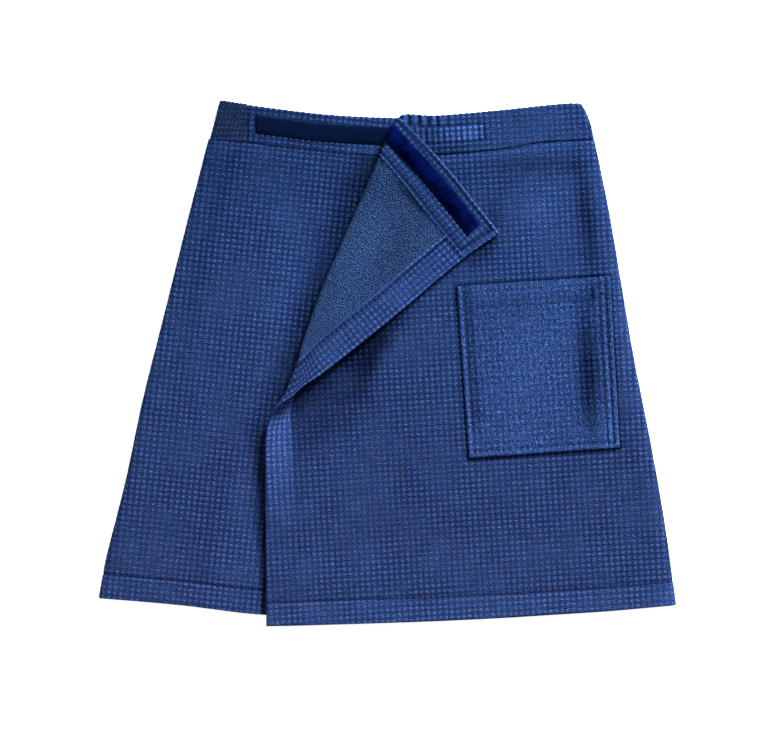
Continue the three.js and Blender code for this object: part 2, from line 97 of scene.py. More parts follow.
# The back panel: one wide piece of waffle velour, flared towards the hem. It lies face down on the
# surface, with a turned-up hem, and its side edges turn up into the side folds.
CLOTH = 2.0
HEM_THICKNESS = 3.4
BAND = 3.8
SEAM_GAP = 0.3
SEAM_TUCK = 0.4
HEM_WIDTH = 26.0
SIDE_FOLD_RADIUS = 2.9
BAND_RISE = 55.0
CLOTH_HALF = CLOTH / 2
BAND_HALF = BAND / 2
HEM_RISE = HEM_THICKNESS - CLOTH
FOLD_TURN = math.pi / 2 - SEAM_GAP / 2 / SIDE_FOLD_RADIUS
FOLD_ARC = FOLD_TURN * SIDE_FOLD_RADIUS


def smooth_curve(**columns):
    """A smooth line through a table's rows: asked with the first column, it gives the second. Each
    span is a cubic, and its slope at a row comes from the rows on either side of that row."""
    asked, given = (np.array(column, float) for column in columns.values())
    before = np.maximum(np.arange(len(asked)) - 1, 0)
    after = np.minimum(np.arange(len(asked)) + 1, len(asked) - 1)
    slopes = (given[after] - given[before]) / (asked[after] - asked[before])

    def at(value):
        k = np.clip(np.searchsorted(asked, value, side="right") - 1, 0, len(asked) - 2)
        span = asked[k + 1] - asked[k]
        share = (value - asked[k]) / span
        t = np.clip(share, 0, 1)
        rise = t * t * (3 - 2 * t)
        bend = t * (1 - t) * ((1 - t) * slopes[k] - t * slopes[k + 1])
        beyond = slopes[k] * np.minimum(share, 0) + slopes[k + 1] * np.maximum(share - 1, 0)
        return given[k] * (1 - rise) + given[k + 1] * rise + span * (bend + beyond)

    return at


def mix(start, end, share):
    return start + (end - start) * share


def fade(distance, near, far):
    """1 at the near distance or closer, falling smoothly to 0 at the far one."""
    t = np.clip((distance - near) / (far - near), 0, 1)
    return 1 - t * t * (3 - 2 * t)


left_side = smooth_curve(
    y=(-254.4, -214.1, -127.2, -40.2, 46.7, 177.2, 242.4, 284.6),
    x=(-313.4, -306.0, -284.3, -265.8, -244.0, -211.4, -193.5, -182.8))
right_side = smooth_curve(
    y=(-262.0, -170.7, -83.7, 3.3, 90.2, 177.2, 242.4, 264.0, 281.5),
    x=(313.4, 300.6, 285.3, 268.0, 253.2, 238.2, 223.6, 218.6, 210.0))
back_hem = smooth_curve(x=(-313.4, 0.0, 313.4), y=(-254.4, -266.0, -262.0))
back_seam = smooth_curve(x=(-193.5, 0.0, 222.3), y=(242.4, 223.5, 242.4))
left_seam = smooth_curve(
    x=(-193.5, -151.6, -97.3, -7.1, 144.0),
    y=(242.4, 238.2, 231.5, 224.8, 233.0))
right_seam = smooth_curve(
    x=(-151.0, -16.0, 54.9, 123.4, 166.9, 222.3),
    y=(217.0, 224.7, 224.5, 231.5, 238.5, 242.4))


def near_band(seam, x, y):
    return fade(seam(x) - y, 2, BAND_RISE)


def panel_thickness(hem, x, y):
    """One layer of cloth, and two in the turned-up hem, with a soft step between them."""
    return CLOTH + HEM_RISE * fade(y - hem(x), HEM_WIDTH - 5, HEM_WIDTH + 3)


def side_split(seam, x, y):
    """Height of the middle of a side fold, where the front and back pieces meet."""
    return mix(CLOTH_HALF, BAND_HALF, near_band(seam, x, y)) + SIDE_FOLD_RADIUS


def stack(x, y, z):
    return np.stack(np.broadcast_arrays(x, y, z), axis=-1)


def past_side(x, y, inset):
    """How far a point lies past the start of a side fold, in cloth, and on which side (-1 or 1)."""
    past_left = left_side(y) + inset - x
    past_right = x - right_side(y) + inset
    return np.maximum(np.maximum(past_left, past_right), 0), np.where(past_left > past_right, -1, 1)


def back_place(x, y, depth):
    """Places a point of the back, depth below the middle of its cloth. Past the start of a side
    fold it goes up round a quarter turn whose radius reaches the middle of the fold."""
    past, side = past_side(x, y, SIDE_FOLD_RADIUS + CLOTH_HALF)
    centre = np.where(x < 0, side_split(left_seam, x, y), side_split(right_seam, x, y))
    radius = centre - CLOTH_HALF
    turn = past / SIDE_FOLD_RADIUS
    flat_x = x - side * past
    reach = radius + depth
    return stack(flat_x + side * reach * np.sin(turn), y, centre - reach * np.cos(turn))


# Pitch of the raised square tufts, across and along the cloth
TUFT_PITCH = (6.3, 5.86)
TUFT_HEIGHT = 0.75


def tufts(u, v, pitch=TUFT_PITCH):
    """Height from 0 in a groove to 1 on a tuft: the product of two rounded waves. Each is 1 - (2f - 1)
    squared, where f is the share of the way across one cell."""
    across, along = (1 - (2 * np.mod(w / p, 1) - 1) ** 2 for w, p in ((u, pitch[0]), (v, pitch[1])))
    return across * along


class Cut:
    """A piece of cloth cut out on the grain: a grid whose lines follow the tufts, clipped to the
    outline that four edge curves give, in the laid-out plane. Grid points outside the outline, or
    just inside it, move onto it. near says how far each point lies from the nearest free edge."""

    def __init__(self, left, right, top, bottom, box, grain=0.0, pitch=TUFT_PITCH, per_tuft=4, free=""):
        x0, x1, y0, y1 = box
        turn = math.radians(grain)
        step = (pitch[0] / per_tuft, pitch[1] / per_tuft)
        corner_x, corner_y = np.array([x0, x1, x0, x1]), np.array([y0, y0, y1, y1])
        corner_u = corner_x * math.cos(turn) + corner_y * math.sin(turn)
        corner_v = corner_y * math.cos(turn) - corner_x * math.sin(turn)
        i = np.arange(math.floor(corner_u.min() / step[0]) - 1, math.ceil(corner_u.max() / step[0]) + 2)
        j = np.arange(math.floor(corner_v.min() / step[1]) - 1, math.ceil(corner_v.max() / step[1]) + 2)
        u, v = np.meshgrid(i * step[0], j * step[1])
        x = u * math.cos(turn) - v * math.sin(turn)
        y = u * math.sin(turn) + v * math.cos(turn)
        snap = 0.4 * min(step)
        room = np.minimum.reduce([x - left(y), right(y) - x, top(x) - y, y - bottom(x)])
        kept = room > snap
        for _ in range(3):
            x = np.where(x - left(y) < snap, left(y), x)
            x = np.where(right(y) - x < snap, right(y), x)
            y = np.where(top(x) - y < snap, top(x), y)
            y = np.where(y - bottom(x) < snap, bottom(x), y)
        rows, columns = x.shape
        corner = (np.arange(rows - 1)[:, None] * columns + np.arange(columns - 1)).ravel()
        quads = np.stack([corner, corner + 1, corner + columns + 1, corner + columns], axis=1)
        quads = quads[kept.ravel()[quads].any(axis=1)]
        triangles = np.concatenate([quads[:, [0, 1, 2]], quads[:, [0, 2, 3]]])
        points = np.round(np.stack([x.ravel(), y.ravel()], axis=1), 4)
        used, triangles = np.unique(triangles, return_inverse=True)
        places, same = np.unique(points[used], axis=0, return_inverse=True)
        triangles = same.ravel()[triangles.reshape(-1, 3)]
        a, b, c = triangles.T
        self.triangles = triangles[(a != b) & (b != c) & (c != a)]
        self.x, self.y = places.T
        self.turn = turn
        edges = np.concatenate([self.triangles[:, pair] for pair in ([0, 1], [1, 2], [2, 0])])
        _, back, count = np.unique(
            np.sort(edges, axis=1), axis=0, return_inverse=True, return_counts=True)
        self.border = edges[count[back.ravel()] == 1]
        self.edges = dict(left=left, right=right, top=top, bottom=bottom)
        self.free = free

    def cloth_way(self, x, y):
        """Distances across and along the grain."""
        return (x * math.cos(self.turn) + y * math.sin(self.turn),
                y * math.cos(self.turn) - x * math.sin(self.turn))

    def near(self, x, y):
        """Distance from the nearest of the free edges, and far away from a piece with none."""
        distances = dict(left=x - self.edges["left"](y), right=self.edges["right"](y) - x,
                         top=self.edges["top"](x) - y, bottom=y - self.edges["bottom"](x))
        free = [distances[edge] for edge in self.free.split()]
        return np.minimum.reduce([np.full(np.shape(x), NO_EDGE), *free])


# Distances in millimetres that stand for no stitched line and no free edge near by
FAR = 30.0
NO_EDGE = 99.0


def rounded(near, half):
    """How much of its half thickness a wall keeps near a folded edge: a quarter of an ellipse."""
    t = np.clip(near / (1.3 * half), 0, 1)
    return 0.25 + 0.75 * np.sqrt(1 - (1 - t) ** 2)


# How far the plain side's own points keep from its border
INNER_MARGIN = 1.5


def inner_points(cut, spacing, extra=None):
    """Points for the plain side of a piece: a coarse grid inside its outline, and any extra ones."""
    lowest, highest = (cut.x.min(), cut.y.min()), (cut.x.max(), cut.y.max())
    lines = (np.arange(start, stop, spacing) for start, stop in zip(lowest, highest))
    x, y = (grid.ravel() for grid in np.meshgrid(*lines))
    if extra is not None:
        x, y = np.concatenate([x, extra[0]]), np.concatenate([y, extra[1]])
    edges = cut.edges
    room = np.minimum.reduce([x - edges["left"](y), edges["right"](y) - x,
                              edges["top"](x) - y, y - edges["bottom"](x)])
    inside = room > INNER_MARGIN
    return x[inside], y[inside]


def link_mesh(name, points, triangles, cloth_way, material):
    """Puts points in millimetres, triangles and cloth coordinates into a new smooth object."""
    mesh = bpy.data.meshes.new(name)
    mesh.vertices.add(len(points))
    mesh.vertices.foreach_set("co", (points * MM).astype(np.float32).ravel())
    mesh.loops.add(triangles.size)
    mesh.loops.foreach_set("vertex_index", triangles.astype(np.int32).ravel())
    mesh.polygons.add(len(triangles))
    mesh.polygons.foreach_set("loop_start", np.arange(0, triangles.size, 3, dtype=np.int32))
    mesh.polygons.foreach_set("use_smooth", np.ones(len(triangles), bool))
    layer = mesh.uv_layers.new(name="cloth way")
    layer.data.foreach_set("uv", (cloth_way[triangles.ravel()] * MM).astype(np.float32).ravel())
    mesh.update(calc_edges=True)
    mesh.validate()
    mesh.materials.append(material)
    piece = bpy.data.objects.new(name, mesh)
    bpy.context.collection.objects.link(piece)
    return piece


def cloth_wall(name, cut, place, face, back, material, inside=None, wrong=None, sewn=None, brushed=None):
    """A closed cloth wall. The face side is the cut's own fine grid at the offsets that face gives,
    and the back is a plain net over the same border at the offsets of back, or the same fine grid
    where inside is None. A strip joins them all round. wrong says where the back shows the cloth's
    wrong side, sewn gives the distance from the nearest stitched line, and brushed
    gives how much lighter or darker the colour is painted, for painted light and shade and for the
    lie of the nap; both are kept for the material."""
    count = len(cut.x)
    points = place(cut.x, cut.y, face(cut.x, cut.y))
    if inside is None:
        back_x, back_y, back_triangles = cut.x, cut.y, cut.triangles
        below = np.arange(count)
    else:
        rim, rim_edges = np.unique(cut.border, return_inverse=True)
        rim_edges = rim_edges.reshape(-1, 2)
        x = np.concatenate([cut.x[rim], inside[0]])
        y = np.concatenate([cut.y[rim], inside[1]])
        found, _, made, origins, _, _ = delaunay_2d_cdt(
            [Vector(point) for point in zip(x.tolist(), y.tolist())],
            [tuple(edge) for edge in rim_edges.tolist()], [], 1, 1e-5)
        back_x, back_y = np.array([tuple(point) for point in found]).T
        back_triangles = np.array(made)
        sources = np.array([source for held in origins for source in held])
        holders = np.repeat(np.arange(len(origins)), [len(held) for held in origins])
        on_rim = sources < len(rim)
        below = np.full(count, -1)
        below[rim[sources[on_rim]]] = holders[on_rim]
    back_points = place(back_x, back_y, back(back_x, back_y))
    a, b = cut.border.T
    low_a, low_b = below[a] + count, below[b] + count
    walls = np.concatenate([np.stack([b, a, low_a], axis=1), np.stack([b, low_a, low_b], axis=1)])
    triangles = np.concatenate([cut.triangles, back_triangles[:, ::-1] + count, walls])
    flat_x, flat_y = np.concatenate([cut.x, back_x]), np.concatenate([cut.y, back_y])
    points = np.concatenate([points, back_points])
    corners = points[triangles]
    volume = np.einsum("ij,ij->i", corners[:, 0], np.cross(corners[:, 1], corners[:, 2])).sum()
    if volume < 0:
        triangles = triangles[:, ::-1]
    cloth_way = np.stack(cut.cloth_way(flat_x, flat_y), axis=1)
    piece = link_mesh(name, points, triangles, cloth_way, material)
    if wrong is not None:
        piece.data.materials.append(TERRY)
        first, last = len(cut.triangles), len(cut.triangles) + len(back_triangles)
        middle_x, middle_y = (flat[triangles[first:last]].mean(axis=1) for flat in (flat_x, flat_y))
        slots = np.zeros(len(triangles), np.int32)
        slots[first:last] = wrong(middle_x, middle_y)
        piece.data.polygons.foreach_set("material_index", slots)
    # brushed: painted light and shade, with the nap's lighter and darker lie, as a factor on the colour
    for label, values in (("sewn", FAR if sewn is None else sewn(flat_x, flat_y)),
                          ("brushed", 1.0 if brushed is None else brushed(flat_x, flat_y))):
        layer = piece.data.attributes.new(label, "FLOAT", "POINT")
        layer.data.foreach_set("value", np.broadcast_to(values, flat_x.shape).astype(np.float32))
    return piece


def new_group(name, inputs, outputs):
    """An empty shader node group with named sockets. inputs and outputs give (name, kind, default)."""
    group = bpy.data.node_groups.new(name, "ShaderNodeTree")
    for label, kind, default in inputs:
        group.interface.new_socket(label, in_out="INPUT", socket_type=kind).default_value = default
    for label, kind, default in outputs:
        group.interface.new_socket(label, in_out="OUTPUT", socket_type=kind).default_value = default
    return group, group.nodes.new("NodeGroupInput"), group.nodes.new("NodeGroupOutput")


def math_node(tree, operation, first, second=None):
    """A Math node whose two inputs are numbers or sockets; gives its output."""
    node = tree.nodes.new("ShaderNodeMath")
    node.operation = operation
    for socket, value in zip(node.inputs, (first, second)):
        if value is None:
            continue
        if isinstance(value, (int, float)):
            socket.default_value = value
        else:
            tree.links.new(value, socket)
    return node.outputs[0]


def ramp_node(tree, value, low, high, to_low=0.0, to_high=1.0):
    """A smooth step from to_low to to_high as value goes from low to high."""
    node = tree.nodes.new("ShaderNodeMapRange")
    node.interpolation_type = "SMOOTHSTEP"
    tree.links.new(value, node.inputs["Value"])
    for label, number in (("From Min", low), ("From Max", high), ("To Min", to_low), ("To Max", to_high)):
        node.inputs[label].default_value = number
    return node.outputs["Result"]


def noise_node(tree, place, scale, detail=2.0, roughness=0.5):
    node = tree.nodes.new("ShaderNodeTexNoise")
    node.inputs["Scale"].default_value = scale
    node.inputs["Detail"].default_value = detail
    node.inputs["Roughness"].default_value = roughness
    tree.links.new(place, node.inputs["Vector"])
    return node.outputs["Fac"]


def mix_colour(tree, share, first, second):
    """A colour mixed from two colours or sockets by a share."""
    node = tree.nodes.new("ShaderNodeMix")
    node.data_type = "RGBA"
    tree.links.new(share, node.inputs["Factor"])
    for socket, value in ((node.inputs[6], first), (node.inputs[7], second)):
        if isinstance(value, tuple):
            socket.default_value = (*value, 1)
        else:
            tree.links.new(value, socket)
    return node.outputs[2]


# How far the noise shifts a tuft's outline, from one extreme to the other, and the mask's mean
FRAY = 3.0
MASK_MEAN = 0.38


def tuft_mask_group():
    """Gives 1 on a tuft and 0 in the grooves round it, from cloth coordinates in metres: with a and b
    the shares of the way from a cell's middle to its sides, a round dot that falls smoothly as the
    square root of a a + b b goes from 0.15 to 1.05. Small noise frays it, and a slow uneven strength
    draws it towards its mean. Cell is an even random number for each tuft."""
    group, given, result = new_group(
        "tuft mask",
        [("Cloth Way", "NodeSocketVector", (0, 0, 0)),
         ("Pitch Across", "NodeSocketFloat", TUFT_PITCH[0] * MM),
         ("Pitch Along", "NodeSocketFloat", TUFT_PITCH[1] * MM)],
        [("Mask", "NodeSocketFloat", 0.0), ("Cell", "NodeSocketFloat", 0.5)])
    where = given.outputs["Cloth Way"]
    parts = group.nodes.new("ShaderNodeSeparateXYZ")
    group.links.new(where, parts.inputs[0])
    frays = group.nodes.new("ShaderNodeSeparateColor")
    noise = group.nodes.new("ShaderNodeTexNoise")
    noise.inputs["Scale"].default_value = 420.0
    noise.inputs["Detail"].default_value = 2.0
    group.links.new(where, noise.inputs["Vector"])
    group.links.new(noise.outputs["Color"], frays.inputs[0])
    squares = []
    steps = []
    for axis, pitch, channel in (("X", "Pitch Across", "Red"), ("Y", "Pitch Along", "Green")):
        way, size = parts.outputs[axis], given.outputs[pitch]
        fray = math_node(group, "SUBTRACT", frays.outputs[channel], 0.5)
        frayed = math_node(group, "ADD", way, math_node(group, "MULTIPLY", fray, FRAY * MM))
        share = math_node(group, "FRACT", math_node(group, "DIVIDE", frayed, size))
        away = math_node(group, "SUBTRACT", math_node(group, "MULTIPLY", share, 2.0), 1.0)
        squares.append(math_node(group, "MULTIPLY", away, away))
        steps.append(math_node(group, "FLOOR", math_node(group, "DIVIDE", way, size)))
    distance = math_node(group, "SQRT", math_node(group, "ADD", *squares))
    dot = ramp_node(group, distance, 0.15, 1.05, 1.0, 0.0)
    strength = ramp_node(group, noise_node(group, where, 15.0, 2.0, 0.6), 0.34, 0.62, 0.4, 1.0)
    lifted = math_node(group, "MULTIPLY", math_node(group, "SUBTRACT", dot, MASK_MEAN), strength)
    group.links.new(math_node(group, "ADD", lifted, MASK_MEAN), result.inputs["Mask"])
    cell = group.nodes.new("ShaderNodeCombineXYZ")
    group.links.new(steps[0], cell.inputs[0])
    group.links.new(steps[1], cell.inputs[1])
    random = group.nodes.new("ShaderNodeTexWhiteNoise")
    group.links.new(cell.outputs[0], random.inputs["Vector"])
    group.links.new(random.outputs["Value"], result.inputs["Cell"])
    return group


def nap_group():
    """The lie of the pile, from cloth coordinates in metres: Patches is a slow uneven light and dark
    from brushed areas 10 to 40 mm wide, Hue is a smaller wandering of the colour, Fibres is the
    speckle of cut pile about 1.5 mm wide, and Fine is the single fibres, under half a millimetre."""
    group, given, result = new_group(
        "nap", [("Cloth Way", "NodeSocketVector", (0, 0, 0))],
        [(label, "NodeSocketFloat", 0.5) for label in ("Patches", "Hue", "Fibres", "Fine")])
    where = given.outputs["Cloth Way"]
    for label, scale, detail, roughness, low, high in (
            ("Patches", 42.0, 3.0, 0.6, 0.3, 0.7),
            ("Fibres", 680.0, 1.0, 0.5, 0.34, 0.66),
            ("Hue", 75.0, 3.0, 0.7, 0.35, 0.65)):
        noise = noise_node(group, where, scale, detail, roughness)
        group.links.new(ramp_node(group, noise, low, high), result.inputs[label])
    group.links.new(noise_node(group, where, 2600.0, 2.0, 0.7), result.inputs["Fine"])
    return group


TUFT_MASK = tuft_mask_group()
NAP = nap_group()


def cloth_material(name, roughness, sheen=0.0, specular=0.0):
    """A new cloth material with its constant values set; gives it, its tree and its shader node."""
    material = bpy.data.materials.new(name)
    material.use_nodes = True
    tree = material.node_tree
    shader = tree.nodes["Principled BSDF"]
    shader.inputs["Roughness"].default_value = roughness
    shader.inputs["Specular IOR Level"].default_value = specular
    shader.inputs["Sheen Weight"].default_value = sheen
    shader.inputs["Sheen Roughness"].default_value = 0.5
    shader.inputs["Sheen Tint"].default_value = (0.5, 0.7, 1.0, 1)
    return material, tree, shader


def cloth_way_node(tree):
    node = tree.nodes.new("ShaderNodeUVMap")
    node.uv_map = "cloth way"
    return node.outputs["UV"]


def place_group(tree, group, **values):
    """Places a node group in a material; values are sockets to link or numbers to set."""
    node = tree.nodes.new("ShaderNodeGroup")
    node.node_tree = group
    for label, value in values.items():
        socket = node.inputs[label.replace("_", " ")]
        if isinstance(value, float):
            socket.default_value = value
        else:
            tree.links.new(value, socket)
    return node


def bump_node(tree, shader, height, distance):
    node = tree.nodes.new("ShaderNodeBump")
    node.inputs["Distance"].default_value = distance
    node.inputs["Strength"].default_value = 1.0
    tree.links.new(height, node.inputs["Height"])
    tree.links.new(node.outputs["Normal"], shader.inputs["Normal"])


def surface_value(tree, label):
    node = tree.nodes.new("ShaderNodeAttribute")
    node.attribute_name = label
    return node.outputs["Fac"]


def finish_colour(tree, shader, colour, speckle):
    """Links a cloth colour: times its speckle and its painted light and shade with the nap, cooler
    where that paints shade, and darker within a millimetre of a stitched line, painted shade in the
    dip where the thread pulls the pile in."""
    from_line = math_node(tree, "ABSOLUTE", surface_value(tree, "sewn"))
    # painted shade in the dip along each stitched line
    off_line = ramp_node(tree, from_line, 0.1, 1.3, 0.34, 1.0)
    brushed = surface_value(tree, "brushed")
    shade = math_node(tree, "MULTIPLY", brushed, off_line)
    light = ramp_node(tree, brushed, 0.3, 0.95)
    # cooler tint where painted shade falls
    cooler = tree.nodes.new("ShaderNodeVectorMath")
    cooler.operation = "MULTIPLY"
    tree.links.new(colour, cooler.inputs[0])
    tree.links.new(mix_colour(tree, light, (0.90, 0.97, 1.05), (1.0, 1.0, 1.0)), cooler.inputs[1])
    scaled = tree.nodes.new("ShaderNodeVectorMath")
    scaled.operation = "SCALE"
    tree.links.new(cooler.outputs[0], scaled.inputs[0])
    tree.links.new(math_node(tree, "MULTIPLY", shade, speckle), scaled.inputs["Scale"])
    tree.links.new(scaled.outputs[0], shader.inputs["Base Color"])


def velour(name, groove, body, bright, pitch=TUFT_PITCH, twill=0.0):
    """Waffle velour: dark grooves, partly painted shade in the recesses between the tufts, and darker
    still where painted shade falls, tufts that go from the body colour to a brighter nap, in patches
    of the nap and from one tuft to the next, a speckle of fibres that is both colour and bump, and a
    hue that wanders a little between violet and green, and leans to green towards the waist, a
    painted tint of the light there. twill adds short diagonal streaks."""
    material, tree, shader = cloth_material(name, 0.95)
    where = cloth_way_node(tree)
    mask = place_group(
        tree, TUFT_MASK, Cloth_Way=where, Pitch_Across=pitch[0] * MM, Pitch_Along=pitch[1] * MM)
    nap = place_group(tree, NAP, Cloth_Way=where)
    lift = math_node(tree, "ADD", math_node(tree, "MULTIPLY", nap.outputs["Fibres"], 0.5),
                     math_node(tree, "MULTIPLY", mask.outputs["Cell"], 0.35))
    lift = math_node(tree, "ADD", lift, math_node(tree, "MULTIPLY", nap.outputs["Fine"], 0.15))
    parts = tree.nodes.new("ShaderNodeSeparateXYZ")
    tree.links.new(where, parts.inputs[0])
    # painted tint of the light: greener towards the waist
    upper = ramp_node(tree, parts.outputs["Y"], -0.20, 0.28, 0.0, 0.55)
    hue = math_node(tree, "ADD", math_node(tree, "MULTIPLY", nap.outputs["Hue"], 0.45), upper)
    tuft_colour = mix_colour(tree, lift, body, bright)
    # painted shade: the grooves go darker still where the painted shade falls
    shaded_groove = tuple(value * 0.45 for value in groove)
    light = ramp_node(tree, surface_value(tree, "brushed"), 0.35, 0.95)
    groove_colour = mix_colour(tree, light, shaded_groove, groove)
    pile = tree.nodes.new("ShaderNodeVectorMath")
    pile.operation = "MULTIPLY"
    tree.links.new(mix_colour(tree, mask.outputs["Mask"], groove_colour, tuft_colour), pile.inputs[0])
    tree.links.new(mix_colour(tree, hue, (1.10, 1.00, 1.00), (0.76, 1.00, 1.10)), pile.inputs[1])
    speckle = ramp_node(tree, nap.outputs["Fibres"], 0.0, 1.0, 0.74, 1.26)
    patches = ramp_node(tree, nap.outputs["Patches"], 0.0, 1.0, 0.95, 1.05)
    speckle = math_node(tree, "MULTIPLY", speckle, patches)
    if twill:
        turned = tree.nodes.new("ShaderNodeMapping")
        turned.inputs["Rotation"].default_value = (0, 0, 0.9)
        turned.inputs["Scale"].default_value = (1.0, 0.38, 1.0)
        tree.links.new(where, turned.inputs["Vector"])
        streaks = noise_node(tree, turned.outputs["Vector"], 560.0, 1.0, 0.5)
        streaks = ramp_node(tree, streaks, 0.34, 0.66, 1 - twill, 1 + twill)
        speckle = math_node(tree, "MULTIPLY", speckle, streaks)
    finish_colour(tree, shader, pile.outputs[0], speckle)
    fine = math_node(tree, "MULTIPLY", nap.outputs["Fine"], 0.5)
    bump_node(tree, shader, math_node(tree, "ADD", nap.outputs["Fibres"], fine), 0.0009)
    return material


def terry_material():
    """The wrong side: greyer blue knitted loops. Dots 2 mm apart in slanting rows are each lit a
    little differently, and the gaps between them are nearly black, painted shade between the loops;
    the same pattern drives the colour and the bump."""
    material, tree, shader = cloth_material("knitted wrong side", 0.95, sheen=0.02, specular=0.02)
    where = cloth_way_node(tree)
    turned = tree.nodes.new("ShaderNodeMapping")
    turned.inputs["Rotation"].default_value = (0, 0, 0.06)
    turned.inputs["Scale"].default_value = (1.1, 0.95, 1.0)
    tree.links.new(where, turned.inputs["Vector"])
    loops = tree.nodes.new("ShaderNodeTexVoronoi")
    loops.voronoi_dimensions = "2D"
    loops.inputs["Scale"].default_value = 470.0
    loops.inputs["Randomness"].default_value = 0.35
    tree.links.new(turned.outputs["Vector"], loops.inputs["Vector"])
    shares = tree.nodes.new("ShaderNodeSeparateColor")
    tree.links.new(loops.outputs["Color"], shares.inputs[0])
    nap = place_group(tree, NAP, Cloth_Way=where)
    # painted shade in the gaps between the loops
    gap = ramp_node(tree, loops.outputs["Distance"], 0.14, 0.52, 1.0, 0.0)
    lit = math_node(tree, "MULTIPLY", ramp_node(tree, shares.outputs[0], 0.0, 1.0, 0.45, 1.0), gap)
    body = mix_colour(tree, nap.outputs["Patches"], (0.048, 0.106, 0.280), (0.056, 0.122, 0.316))
    speckle = ramp_node(tree, nap.outputs["Fibres"], 0.0, 1.0, 0.85, 1.15)
    finish_colour(tree, shader, mix_colour(tree, lit, (0.0020, 0.0070, 0.028), body), speckle)
    bump_node(tree, shader, lit, 0.0007)
    return material


TERRY = terry_material()
# groove colours: partly painted shade in the recesses between the tufts
VELOUR = velour("waffle velour", groove=(0.0086, 0.0201, 0.074), body=(0.0193, 0.0402, 0.1235),
                bright=(0.0530, 0.0940, 0.251))

# A stitch is a short thread: rings along it as shares of half its length, with their radii and
# their heights above the cloth
STITCH = 2.6
STITCH_PITCH = 3.2
STITCH_RINGS = np.array([-1.0, -0.55, 0.55, 1.0])
STITCH_RADII = np.array([0.14, 0.30, 0.30, 0.14])
STITCH_HEIGHTS = np.array([-0.30, 0.12, 0.12, -0.30])
STITCH_SIDES = 5


def rows_along(pitch, *lines):
    """Places for the rings of stitches, pitch apart, along lines given as dense x and y arrays: one
    row of x and one of y for each stitch."""
    found = []
    for x, y in lines:
        x, y = np.broadcast_arrays(np.asarray(x, float), np.asarray(y, float))
        walked = np.concatenate([[0], np.cumsum(np.hypot(np.diff(x), np.diff(y)))])
        middles = np.arange(pitch / 2, walked[-1] - STITCH / 2, pitch)
        asked = middles[:, None] + STITCH_RINGS * STITCH / 2
        found.append((np.interp(asked, walked, x), np.interp(asked, walked, y)))
    return tuple(np.concatenate(part) for part in zip(*found))


def stitches(name, place, face, side, lines, sink=0.0, thread="thread"):
    """Threads sunk in the face of a piece along its lines. Round each ring the points lie at its
    radius, in the plane of the cloth's normal and the line's cross direction."""
    x, y = rows_along(STITCH_PITCH, *lines)
    offset = face(x, y) + side * (STITCH_HEIGHTS - sink)
    middle = place(x, y, offset)
    normal = place(x, y, offset + side * 0.5) - middle
    normal /= np.linalg.norm(normal, axis=-1, keepdims=True)
    way = np.gradient(middle, axis=1)
    across = np.cross(way, normal)
    across /= np.linalg.norm(across, axis=-1, keepdims=True)
    angle = np.arange(STITCH_SIDES) * 2 * np.pi / STITCH_SIDES
    ring = (np.cos(angle)[:, None] * across[:, :, None] + np.sin(angle)[:, None] * normal[:, :, None])
    points = middle[:, :, None] + STITCH_RADII[:, None, None] * ring
    rings = len(STITCH_RINGS)
    k = np.arange(STITCH_SIDES)
    low = (np.arange(rings - 1)[:, None] * STITCH_SIDES + k).ravel()
    low_next = (np.arange(rings - 1)[:, None] * STITCH_SIDES + (k + 1) % STITCH_SIDES).ravel()
    skin = np.concatenate([np.stack([low, low_next, low_next + STITCH_SIDES], axis=1),
                           np.stack([low, low_next + STITCH_SIDES, low + STITCH_SIDES], axis=1)])
    fan = np.stack([0 * k[1:-1], k[2:], k[1:-1]], axis=1)
    one = np.concatenate([skin, fan, fan[:, ::-1] + (rings - 1) * STITCH_SIDES])
    count = len(points)
    triangles = (one[None] + np.arange(count)[:, None, None] * rings * STITCH_SIDES).reshape(-1, 3)
    flat = points.reshape(-1, 3)
    corners = flat[triangles]
    if np.einsum("ij,ij->i", corners[:, 0], np.cross(corners[:, 1], corners[:, 2])).sum() < 0:
        triangles = triangles[:, ::-1]
    threads = link_mesh(name, flat, triangles, np.zeros((len(flat), 2)), THREADS[thread])
    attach(threads, "root")
    return threads


def thread_material(name, dark, light):
    """Spun thread, whose colour varies along it between dark and light."""
    material, tree, shader = cloth_material(name, 0.7, sheen=0.05, specular=0.06)
    place = tree.nodes.new("ShaderNodeTexCoord")
    strands = noise_node(tree, place.outputs["Object"], 1800.0, 1.0, 0.5)
    colour = mix_colour(tree, ramp_node(tree, strands, 0.3, 0.7), dark, light)
    tree.links.new(colour, shader.inputs["Base Color"])
    return material


THREADS = dict(thread=thread_material("sewing thread", (0.006, 0.014, 0.050), (0.018, 0.038, 0.120)),
               navy=thread_material("navy thread", (0.0006, 0.0016, 0.010), (0.0016, 0.0040, 0.026)))

back_cut = Cut(
    left=lambda y: left_side(y) + SIDE_FOLD_RADIUS + CLOTH_HALF - FOLD_ARC,
    right=lambda y: right_side(y) - SIDE_FOLD_RADIUS - CLOTH_HALF + FOLD_ARC,
    top=lambda x: back_seam(x) + SEAM_TUCK, bottom=back_hem,
    box=(-316, 316, -268, 244), per_tuft=3, free="bottom")


def back_face(x, y):
    """The outer face, flat on the surface, with its tufts pressed nearly level."""
    relief = 0.35 * (1 - tufts(*back_cut.cloth_way(x, y)))
    hem_line = 0.55 * np.exp(-((y - back_hem(x) - HEM_WIDTH) / 1.6) ** 2)
    return CLOTH_HALF * rounded(back_cut.near(x, y), 1.2) - relief - hem_line


def back_inner(x, y):
    return CLOTH_HALF - panel_thickness(back_hem, x, y)


back_panel = cloth_wall(
    "back_velour", back_cut, back_place, back_face, back_inner, VELOUR,
    inside=inner_points(back_cut, spacing=9),
    wrong=lambda x, y: y > back_hem(x) + HEM_WIDTH, sewn=lambda x, y: y - back_hem(x) - HEM_WIDTH)
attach(back_panel, "root")
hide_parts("back_panel")
hem_x = np.linspace(-298, 298, 400)
stitches("back_hem_stitches", back_place, back_face, 1, [
    (hem_x, back_hem(hem_x) + HEM_WIDTH)], sink=0.15)

